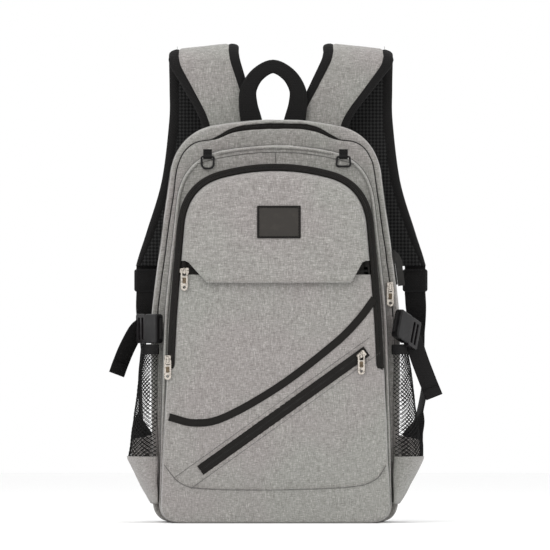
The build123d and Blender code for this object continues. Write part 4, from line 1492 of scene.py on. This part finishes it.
# ---------------------------------------------------------------- main zip, back and handle
class Rear:
    """The main zip, the padded back and the carry handle."""

    def __init__(self, shop: Workshop) -> None:
        """Set up what the methods below share."""
        self.shop = shop

    def build(self) -> None:
        """Build the rear pieces."""
        ring = outline(REAR)
        middle = zip_line(ring)
        rows = [upright(inset(ring, middle + d), y) for d, y in (
            (-0.0042, 0.0), (-0.0040, -0.0004), (-0.0015, -0.0006), (0.0015, -0.0006), (0.0040, -0.0004),
            (0.0042, 0.0))]
        tape = surface("main_tape", rows, self.shop.looks[Look.TAPE], closed=True)
        cut(tape, (0, 0, 0.245), (0, 0, -1))
        thicken(tape, 0.0006)
        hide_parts("main_zip_tape")
        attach(tape, BAG)
        fine = outline(REAR, 900)
        line = upright(inset(fine, zip_line(fine)), -0.0008)
        line = np.roll(line, -5, axis=0)
        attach(self.shop.coil("main_zip_teeth", line[line[:, 2] > 0.246], (0, -1, 0)), BAG)
        self.back(ring)
        for side, sign in SIDES.items():
            self.pad(side, sign)
        self.handle()
        for node in ("laptop_divider", "base_board"):
            self.shop.paint(node, Look.LINING if node == "laptop_divider" else Look.SHEET)

    def back(self, ring: np.ndarray) -> None:
        """The back panel of mesh, bound along its rim.

        Args:
            ring: points round the outline.
        """
        last = upright(inset(ring, 0.0015), 0.0846)
        middle = np.array([0, 0.0846, 0.23])
        rows = []
        for share in np.linspace(0.02, 1.0, 40):
            row = middle + (last - middle) * share
            row[:, 1] += [0.0006 * wave(p, 0.03, 7.0) * (1 - share) for p in row]
            rows.append(row)
        obj = surface("back_mesh", rows, self.shop.looks[Look.AIR_MESH], closed=True)
        cap_inner(obj)
        thicken(obj, 0.0018)
        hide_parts("back_panel")
        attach(obj, BAG)
        cord = tube("back_binding", upright(inset(ring, 0.0018), 0.0846), 0.0019,
                    self.shop.looks[Look.WEBBING], True, 8)
        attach(cord, BAG)

    def pad(self, side: str, sign: int) -> None:
        """One long back pad: a tight cushion with three quilted grooves.

        Args:
            side: left or right.
            sign: -1 on the left and 1 on the right.
        """
        low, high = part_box(f"back_pad_{side}")
        us, vs = np.linspace(-1, 1, 41), np.linspace(-1, 1, 121)
        mid_x, half_x = (low.x + high.x) / 2, (high.x - low.x) / 2
        mid_z, half_z = (low.z + high.z) / 2, (high.z - low.z) / 2
        rows = []
        for v in vs:
            row = []
            for u in us:
                trim = 1 - 0.10 * abs(v) ** 8
                x, z = mid_x + half_x * u * trim, mid_z + half_z * v * (1 - 0.02 * abs(u) ** 6)
                rise = max(0.0, (1 - abs(u) ** 5) * (1 - abs(v) ** 14)) ** 0.5
                groove = sum(math.exp(-((v - g) * half_z / 0.004) ** 2) for g in (-0.5, 0.0, 0.5))
                y = low.y + 0.0002 + 0.0085 * rise * (1 - 0.55 * groove) + 0.0004 * wave((x, 0, z), 0.02)
                row.append((x, y, z))
            rows.append(row)
        front = surface(f"back_cushion_{side}", rows, self.shop.looks[Look.AIR_MESH])
        flat = [[(x, low.y, z) for x, _, z in row] for row in rows]
        rear = surface("pad_base", flat, self.shop.looks[Look.AIR_MESH])
        pad = join(f"back_cushion_{side}", [front, rear])
        pad.name = f"back_cushion_{side}"
        work = bmesh.new()
        work.from_mesh(pad.data)
        bmesh.ops.remove_doubles(work, verts=work.verts, dist=0.00025)
        bmesh.ops.recalc_face_normals(work, faces=work.faces)
        work.to_mesh(pad.data)
        work.free()
        cap_holes(pad)
        for polygon in pad.data.polygons:
            polygon.use_smooth = True
        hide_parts(f"back_pad_{side}")
        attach(pad, BAG)

    def handle(self) -> None:
        """The carry handle: one loop of webbing on edge, sewn into the crown."""
        turns = ((-0.0255, 0.477), (-0.0265, 0.4823), (-0.0298, 0.500), (-0.0292, 0.518), (-0.0185, 0.5355),
                 (0.0, 0.5452), (0.0185, 0.5355), (0.0292, 0.518), (0.0298, 0.500), (0.0265, 0.4823),
                 (0.0255, 0.477))
        path = smooth_path([(x - 0.003, 0.079, z) for x, z in turns], 0.003)
        along = np.gradient(path, axis=0)
        across = np.column_stack([-along[:, 2], np.zeros(len(path)), along[:, 0]])
        width = np.interp(path[:, 2], (0.477, 0.500, 0.520, 0.545), (0.0265, 0.0225, 0.0195, 0.0165))
        loop = band("handle_loop", path, across, width, 0.0036, self.shop.looks[Look.WEBBING], crown=0.0004)
        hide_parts("carry_handle")
        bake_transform(loop)
        across /= np.linalg.norm(across, axis=1, keepdims=True)
        inner = path[(path[:, 2] > 0.490)]
        hang = across[(path[:, 2] > 0.490)]
        for name, way in (("outer", 1), ("inner", -1)):
            row = self.shop.sew(f"handle_stitches_{name}", inner + hang * way * 0.0062 + [0, -0.0021, 0],
                                (0, -1, 0), "black_webbing", Look.THREAD_DARK)
            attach(row, "carry_handle")


# ---------------------------------------------------------------- shoulder straps
class ShoulderStrap:
    """A padded strap with its lock, webbing and anchor, on one side."""

    shift = {"left": 0.0, "right": 0.013}
    web_middle = {"left": (0.155, 0.163, 0.160), "right": (0.168, 0.180, 0.165)}

    def __init__(self, shop: Workshop, side: str) -> None:
        """Set up what the methods below share.

        Args:
            shop: workshop that makes the pieces.
            side: left or right.
        """
        self.shop = shop
        self.side = side
        self.sign = SIDES[side]

    def stations(self) -> np.ndarray:
        """Middle line and width of the strap: x, y, z, width.

        Returns:
            One row for each station of the strap.
        """
        s = self.shift[self.side]
        rows = [(0.050, 0.0913, 0.434, 0.066), (0.056, 0.0913, 0.480, 0.068),
                (0.073 + s * 0.6, 0.0913, 0.523, 0.077), (0.085 + s, 0.0925, 0.551, 0.084),
                (0.086 + s, 0.1003, 0.5612, 0.084), (0.086 + s, 0.1103, 0.564, 0.084),
                (0.087 + s, 0.1203, 0.5612, 0.082), (0.088 + s, 0.1280, 0.551, 0.080),
                (0.0885 + s, 0.1308, 0.520, 0.078), (0.089 + s, 0.1330, 0.480, 0.078),
                (0.0995 + s, 0.1372, 0.408, 0.075), (0.1215 + s, 0.1406, 0.349, 0.066),
                (0.140 + s, 0.1424, 0.320, 0.048), (0.1515 + s, 0.1432, 0.306, 0.033)]
        return np.array(rows)

    def build(self) -> None:
        """Build the strap and what hangs from it."""
        line = smooth_path(self.stations(), 0.005)
        centres = line[:, :3] * [self.sign, 1, 1]
        obj = self.cushion(centres, line[:, 3])
        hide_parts(f"shoulder_strap_{self.side}")
        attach(obj, BAG)
        self.edge_stitches(centres, line[:, 3])
        self.webbing()
        self.shop.paint(f"ladder_lock_{self.side}", Look.ACETAL)
        self.threaded()

    def threaded(self) -> None:
        """Webbing threaded over the bars of the ladder lock, which moves with it."""
        low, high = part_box(f"ladder_lock_{self.side}")
        x, y = (low.x + high.x) / 2, low.y
        turns = ((0.0034, high.z + 0.0060), (0.0012, high.z - 0.0010), (-0.0012, high.z - 0.0060),
                 (-0.0014, (low.z + high.z) / 2), (-0.0012, low.z + 0.0060), (0.0012, low.z + 0.0010),
                 (0.0030, low.z - 0.0040))
        path = smooth_path([(x, y + out, z) for out, z in turns], 0.002)
        web = band(f"lock_web_{self.side}", path, (1, 0, 0), 0.0250, 0.0018, self.shop.looks[Look.WEBBING])
        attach(web, f"ladder_lock_{self.side}")

    def cushion(self, centres: Points, widths: np.ndarray) -> Mesh:
        """Padded body of the strap: cloth outside, mesh inside, bound edges.

        Args:
            centres: points along the middle.
            widths: width at each point.

        Returns:
            The mesh object.
        """
        looks = self.shop.looks
        along = np.gradient(centres, axis=0)
        along /= np.linalg.norm(along, axis=1, keepdims=True)
        out = np.cross(along, np.array([1.0, 0, 0]))
        out /= np.linalg.norm(out, axis=1, keepdims=True)
        shares = [1.0, 0.985, 0.93, 0.86, 0.78, 0.71, 0.69, 0.64, 0.45, 0.2, 0.0]
        rows = []
        for k, centre in enumerate(centres):
            half, loop = widths[k] / 2, []
            for way in (1, -1):
                for share in shares + [-s for s in reversed(shares[:-1])]:
                    at = share * way
                    rim = max(0.0, 1 - abs(at) ** 7) ** 0.5
                    pinch = 0.0011 * math.exp(-((abs(at) - 0.70) / 0.03) ** 2)
                    soft = 0.0003 * wave(centre + [half * at, 0, 0], 0.02, 3.0)
                    height = 0.0004 + 0.0058 * rim - pinch + soft
                    tilt = -0.0045 * at * self.sign * np.clip((centre[2] - 0.47) / 0.08, 0, 1)
                    loop.append(centre + np.array([half * at, 0, tilt]) + out[k] * way * height)
            rows.append(loop)
        obj = surface(f"strap_{self.side}", rows, looks[Look.HEATHER], closed=True)
        obj.data.materials.append(looks[Look.WEBBING])
        obj.data.materials.append(looks[Look.AIR_MESH])
        count = len(rows[0])
        for polygon in obj.data.polygons:
            index = polygon.index % count
            half_count = count // 2
            at = index % half_count
            inner = index < half_count
            bound = at < 5 or at >= half_count - 6
            polygon.material_index = 1 if bound else (2 if inner else 0)
        cap_holes(obj)
        return obj

    def edge_stitches(self, centres: Points, widths: np.ndarray) -> None:
        """A row of stitches inside each binding, on the outer face.

        Args:
            centres: points along the middle.
            widths: width at each point.
        """
        keep = slice(4, len(centres) - 6)
        along = np.gradient(centres, axis=0)
        out = np.cross(along, np.array([1.0, 0, 0]))
        out /= np.linalg.norm(out, axis=1, keepdims=True)
        for name, way in (("outer", 1), ("inner", -1)):
            line = centres - out * 0.0056
            line[:, 0] += way * self.sign * widths / 2 * 0.76
            part = line[keep]
            rise = part[part[:, 1] < 0.105]
            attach(self.shop.sew(f"strap_stitches_{name}_{self.side}", rise, (0, -1, 0.2),
                                  "black_webbing", Look.THREAD_DARK), BAG)

    def webbing(self) -> None:
        """Webbing from the lock down to the anchor, then its loose end and the anchor."""
        top, mid, foot = (x * self.sign for x in self.web_middle[self.side])
        turns = ((top, 0.1430, 0.2735), (top + (mid - top) * 0.2, 0.1433, 0.240),
                 (top + (mid - top) * 0.7, 0.1425, 0.200), (mid, 0.1340, 0.168),
                 (mid + (foot - mid) * 0.5, 0.113, 0.126),
                 (foot, 0.0950, 0.103), (foot, 0.0893, 0.090), (foot, 0.0891, 0.073))
        path = smooth_path(turns, 0.005)
        most = 84 if self.side == "left" else 76
        turn = np.radians(most) * np.interp(path[:, 2], (0.098, 0.125, 0.205, 0.225, 0.262),
                                            (0, 1, 1, 0.75, 0))
        across = np.column_stack([np.cos(turn), self.sign * -np.sin(turn), np.zeros(len(path))])
        web = band(f"strap_web_{self.side}", path, across, 0.025, 0.0018, self.shop.looks[Look.WEBBING])
        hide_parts(f"strap_webbing_{self.side}")
        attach(web, BAG)
        low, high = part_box(f"strap_anchor_{self.side}")
        inner, outer = (low.x, high.x) if self.sign > 0 else (high.x, low.x)
        rows = []
        for t in np.linspace(0, 1, 12):
            x = inner + (outer - inner) * t
            half = 0.026 + (0.013 - 0.026) * t
            rows.append([(x, high.y - 0.0012 + 0.0010 * (1 - abs(2 * v - 1) ** 4),
                          0.084 - half + 2 * half * v)
                         for v in np.linspace(0, 1, 14)])
        tab = surface(f"anchor_tab_{self.side}", rows, self.shop.looks[Look.HEATHER])
        tidy(tab)
        thicken(tab, 0.0022, 0.0)
        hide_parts(f"strap_anchor_{self.side}")
        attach(tab, BAG)


# ---------------------------------------------------------------- bottle pockets
class BottlePocket:
    """A side pocket: grey foot, knitted net and elastic hem."""

    def __init__(self, shop: Workshop, side: str) -> None:
        """Set up what the methods below share.

        Args:
            shop: workshop that makes the pieces.
            side: left or right.
        """
        self.shop = shop
        self.side = side
        self.sign = SIDES[side]
        self.steps = np.linspace(0, 1, 400)
        line = np.array([self.bow(u, 0.036) for u in self.steps]) + np.outer(self.steps, [0.010, 0.120])
        run = np.concatenate([[0], np.cumsum(np.linalg.norm(np.diff(line, axis=0), axis=1))])
        self.run = run / run[-1]

    @staticmethod
    def bow(u: float, depth: float) -> np.ndarray:
        """How far the wall stands out at u: it leaves the bag steeply in front and returns gently."""
        return np.array([depth * math.sin(math.pi * u ** 0.75) ** 0.6, 0.0]) if 0 < u < 1 else np.zeros(2)

    def wall(self, share: float, z: float) -> np.ndarray:
        """Point on the pocket's outer wall, share of its length from front to rear, at height z.

        Args:
            share: share from 0 to 1.
            z: height above the ground.

        Returns:
            The point.
        """
        share = float(np.interp(share, self.run, self.steps))
        if z < 0.077:
            t = (z - 0.022) / 0.055
            reach, rear = 0.1465 + 0.0305 * t ** 0.85, 0.1475 + 0.003 * t
        else:
            t = (z - 0.077) / 0.123
            reach, rear = 0.177 - 0.017 * t, 0.1505
        front, back = np.array([0.1405, -0.041]), np.array([rear, 0.079])
        point = front + (back - front) * share + self.bow(share, reach - (front[0] + back[0]) / 2)
        ripple = 0.0010 * wave((share * 0.15, 0, z), 0.02, 11.0 + self.sign)
        return np.array([self.sign * (point[0] + ripple), point[1], z])

    def girth(self, z: float) -> float:
        """Length of the wall from front to rear at height z."""
        line = np.array([self.wall(u, z) for u in np.linspace(0, 1, 80)])
        return float(np.linalg.norm(np.diff(line, axis=0), axis=1).sum())

    def build(self) -> None:
        """Build foot, net and hem."""
        looks = self.shop.looks
        shares = np.linspace(0, 1, 60)
        order = shares if self.sign < 0 else shares[::-1]
        foot = surface(f"pocket_foot_{self.side}",
                       [[self.wall(u, z) for u in order] for z in np.linspace(0.0225, 0.0785, 18)],
                       looks[Look.HEATHER])
        thicken(foot, 0.0014)
        floor_rows = []
        for t in np.linspace(0, 1, 10):
            floor_rows.append([self.wall(u, 0.0225) + [-self.sign * 0.010 * t, 0, 0] for u in order])
        floor = thicken(surface("pocket_floor", floor_rows, looks[Look.HEATHER]), 0.0012)
        foot = join(f"pocket_foot_{self.side}", [foot, floor])
        foot.name = f"pocket_foot_{self.side}"
        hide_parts(f"pocket_base_{self.side}")
        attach(foot, BAG)
        line = np.array([self.wall(u, 0.0755) + [self.sign * 0.0004, 0, 0] for u in shares])
        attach(self.shop.sew(f"pocket_foot_stitches_{self.side}", line, (self.sign, -0.2, 0),
                              "heather_polyester"), BAG)
        self.net()
        self.hem()

    def net(self) -> None:
        """Knitted net of real thread: two slanted families that cross in diamonds."""
        pitch, radius, height, width = 0.0098, 0.00045, 0.1235, self.girth(0.14)
        run = 2.0 * height
        low = 0.0775
        threads = []
        count = int((width + run) / pitch)
        for way in (1, -1):
            for k in range(count):
                points = []
                for t in np.linspace(0, 1, 80):
                    z = low + height * t
                    u = (k * pitch - run * (t if way > 0 else 1 - t)) / width
                    if 0 <= u <= 1:
                        sunk = self.sign * 0.0006 * (1.2 if way > 0 else 0.6)
                        points.append(self.wall(u, z) - [sunk, 0, 0])
                if len(points) > 2:
                    threads.append(tube("net_thread", points, radius, self.shop.looks[Look.NET], sides=4))
        net = join(f"pocket_net_{self.side}", threads)
        net.name = f"pocket_net_{self.side}"
        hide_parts(f"mesh_pocket_{self.side}")
        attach(net, BAG)

    def hem(self) -> None:
        """Elastic hem: a folded band, gathered into fine upright ridges."""
        rows = []
        shares = np.linspace(0.0, 1.0, 160)
        for depth, z in ((0.0, 0.2002), (0.0007, 0.2006), (0.0010, 0.2030), (0.0010, 0.2060),
                         (0.0010, 0.2090), (0.0007, 0.2114), (0.0, 0.2120), (-0.0008, 0.2114),
                         (-0.0010, 0.2060), (-0.0008, 0.2006)):
            row = []
            for u in shares:
                gather = 0.00025 * math.sin(u * 168 / 1.6 * math.pi)
                base = self.wall(u, 0.200)
                row.append((base[0] + self.sign * (depth - 0.0008 + gather * (depth > 0)), base[1], z))
            rows.append(row)
        rows.append(rows[0])
        obj = surface(f"elastic_hem_{self.side}", rows, self.shop.looks[Look.WEBBING])
        tidy(obj)
        cap_holes(obj)
        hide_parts(f"pocket_hem_{self.side}")
        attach(obj, BAG)


# ---------------------------------------------------------------- buckles
class SideBuckle:
    """Webbing of a compression buckle on one side; its plastic parts come from the frame."""

    origin = {"left": (0.136, -0.044, 0.231), "right": (0.1425, -0.047, 0.240)}
    drop = {"left": 0.0, "right": 20.0}
    tail = {"left": ((0.157, 0.006, 0.237), (0.166, 0.0072, 0.229), (0.177, 0.0076, 0.209),
                     (0.185, 0.0072, 0.190), (0.190, 0.0066, 0.176)),
            "right": ((0.158, 0.000, 0.228), (0.164, 0.0020, 0.218), (0.173, 0.0028, 0.192),
                      (0.183, 0.0026, 0.166), (0.190, 0.0020, 0.149))}

    def __init__(self, shop: Workshop, side: str) -> None:
        """Set up what the methods below share.

        Args:
            shop: workshop that makes the pieces.
            side: left or right.
        """
        self.shop = shop
        self.side = side
        self.sign = SIDES[side]

    def build(self) -> None:
        """Build the webbing and paint the plastic."""
        self.shop.paint(f"buckle_housing_{self.side}", Look.ACETAL)
        self.shop.paint(f"buckle_clip_{self.side}", Look.ACETAL_GREY)
        web = self.shop.looks[Look.WEBBING]
        turn, fall = math.radians(30.7), math.radians(self.drop[self.side])
        along = np.array([self.sign * math.sin(turn) * math.cos(fall), math.cos(turn) * math.cos(fall),
                          -math.sin(fall)])
        x, y, z = self.origin[self.side]
        start = np.array([self.sign * x, y, z])
        across = np.cross(along, [self.sign * math.cos(turn), -math.sin(turn), 0])
        path = [start + along * s for s in np.linspace(-0.0015, 0.0060, 6)]
        front = band("front_run", path, across, 0.025, 0.0017, web)
        half = REAR.half_at(0.231) + 0.0024
        turns = ((0.1575, 0.0115), (0.1545, 0.024), (half + 0.0004, 0.040), (half, 0.060), (half, 0.079))
        path = smooth_path([(self.sign * a, b, 0.231) for a, b in turns], 0.004)
        rear = band("rear_run", path, (0, 0, 1), 0.025, 0.0017, web)
        run = join(f"compression_web_{self.side}", [front, rear])
        run.name = f"compression_web_{self.side}"
        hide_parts(f"compression_strap_{self.side}")
        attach(run, BAG)
        self.loose_end(web)

    def loose_end(self, web: Cloth) -> None:
        """The loose tail, folded back and stitched at its end.

        Args:
            web: webbing material.
        """
        path = smooth_path([(self.sign * x, y, z) for x, y, z in self.tail[self.side]], 0.003)
        along = path[-1] - path[0]
        along /= np.linalg.norm(along)
        lean = math.radians(38 if self.side == "left" else 30)
        across = np.array([-along[2] * math.cos(lean), math.sin(lean), along[0] * math.cos(lean)])
        tail = band("tail", path, across, 0.024, 0.0017, web)
        fold = band("tail_fold", path[-5:] + [0, -0.0021, 0], across, 0.024, 0.0017, web)
        end = join(f"loose_tail_{self.side}", [tail, fold])
        end.name = f"loose_tail_{self.side}"
        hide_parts(f"buckle_tail_{self.side}")
        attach(end, f"buckle_clip_{self.side}")
        line = [path[-5] + across * s + [0, -0.0034, 0] for s in (-0.0105, 0.0105)]
        row = self.shop.sew(f"tail_stitches_{self.side}", line, (0, -1, 0), "black_webbing",
                            Look.THREAD_DARK)
        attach(row, f"buckle_clip_{self.side}")


# ---------------------------------------------------------------- hardware and studio
def finish_hardware(shop: Workshop) -> None:
    """Paint the metal and plastic that come straight from the frame.

    Args:
        shop: workshop that makes the pieces.
    """
    for zip_name in ("flap", "diagonal", "pocket", "main"):
        shop.paint(f"{zip_name}_slider", Look.NICKEL)
        shop.paint(f"{zip_name}_pull", Look.NICKEL)
        # a dark plate on each pull: painted shade in its recess
        pull_recess_shade(shop, zip_name)
    for side in SIDES:
        shop.paint(f"d_ring_{side}", Look.ACETAL)
        shop.paint(f"ring_tab_{side}", Look.WEBBING)
    shop.paint("usb_cover", Look.RUBBER)
    shop.paint("usb_plate", Look.RUBBER)
    shop.paint("usb_socket", Look.STEEL)


def pull_recess_shade(shop: Workshop, zip_name: str) -> None:
    """Dark plate on the face of a pull, between its window and its ring: painted shade of the pull's recess.

    Args:
        shop: workshop that makes the pieces.
        zip_name: which zip.
    """
    low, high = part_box(f"{zip_name}_pull")
    x, y, foot = (low.x + high.x) / 2, low.y - 0.00012, low.z + 0.0088
    ring = []
    for corner_x, corner_z, start in ((1, 1, 0), (-1, 1, 90), (-1, -1, 180), (1, -1, 270)):
        for angle in np.linspace(start, start + 90, 6):
            a = math.radians(angle)
            ring.append((x + corner_x * 0.0012 + 0.0010 * math.cos(a), foot + 0.0036 + corner_z * 0.0026
                         + 0.0010 * math.sin(a)))
    rows = [[(u, depth, w) for u, w in ring] for depth in (y + 0.0005, y)]
    recess = surface(f"{zip_name}_pull_recess", rows, shop.looks[Look.RECESS_SHADE], closed=True, smooth=False)
    cap_holes(recess)
    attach(recess, f"{zip_name}_pull")


def studio(shop: Workshop) -> None:
    """Pale floor, three soft lights and the front camera.

    Args:
        shop: workshop that makes the pieces.
    """
    floor = surface("studio_floor", [[(5.0, y, -0.0005), (-5.0, y, -0.0005)] for y in (-5.0, 5.0)],
                    shop.looks[Look.FLOOR])
    scene = bpy.context.scene
    world = bpy.data.worlds.new("studio")
    scene.world = world
    world.use_nodes = True
    world.node_tree.nodes["Background"].inputs[0].default_value = (1, 1, 1, 1)
    world.node_tree.nodes["Background"].inputs[1].default_value = 1.0
    for name, place, size, power in (("key", (-0.9, -1.6, 1.5), 1.2, 17),
                                     ("fill", (1.4, -1.5, 0.7), 1.4, 5.5),
                                     ("top", (0.1, 0.1, 1.9), 1.2, 8)):
        data = bpy.data.lights.new(name, "AREA")
        data.size = size
        data.energy = power
        light = bpy.data.objects.new(name, data)
        scene.collection.objects.link(light)
        light.location = place
        light.rotation_euler = (Vector((0, 0, 0.28)) - Vector(place)).to_track_quat("-Z", "Y").to_euler()
    data = bpy.data.cameras.new("front")
    camera = bpy.data.objects.new("front", data)
    scene.collection.objects.link(camera)
    camera.location = (-0.0006, -20.085, 0.295)
    camera.rotation_euler = (math.pi / 2, 0, 0)
    data.sensor_width = 36
    data.lens = 36 * 20.0 / 0.6545
    data.clip_end = 100
    scene.camera = camera
    scene.view_settings.view_transform = "Standard"


def main() -> None:
    """Dress the frame."""
    logging.basicConfig(level=logging.INFO)
    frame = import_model()
    shop = Workshop(frame)
    Shells(shop).build()
    FrontPanel(shop).build()
    Rear(shop).build()
    for side in SIDES:
        ShoulderStrap(shop, side).build()
        BottlePocket(shop, side).build()
        SideBuckle(shop, side).build()
    finish_hardware(shop)
    shop.clear()
    studio(shop)


if __name__ == "__main__":
    main()
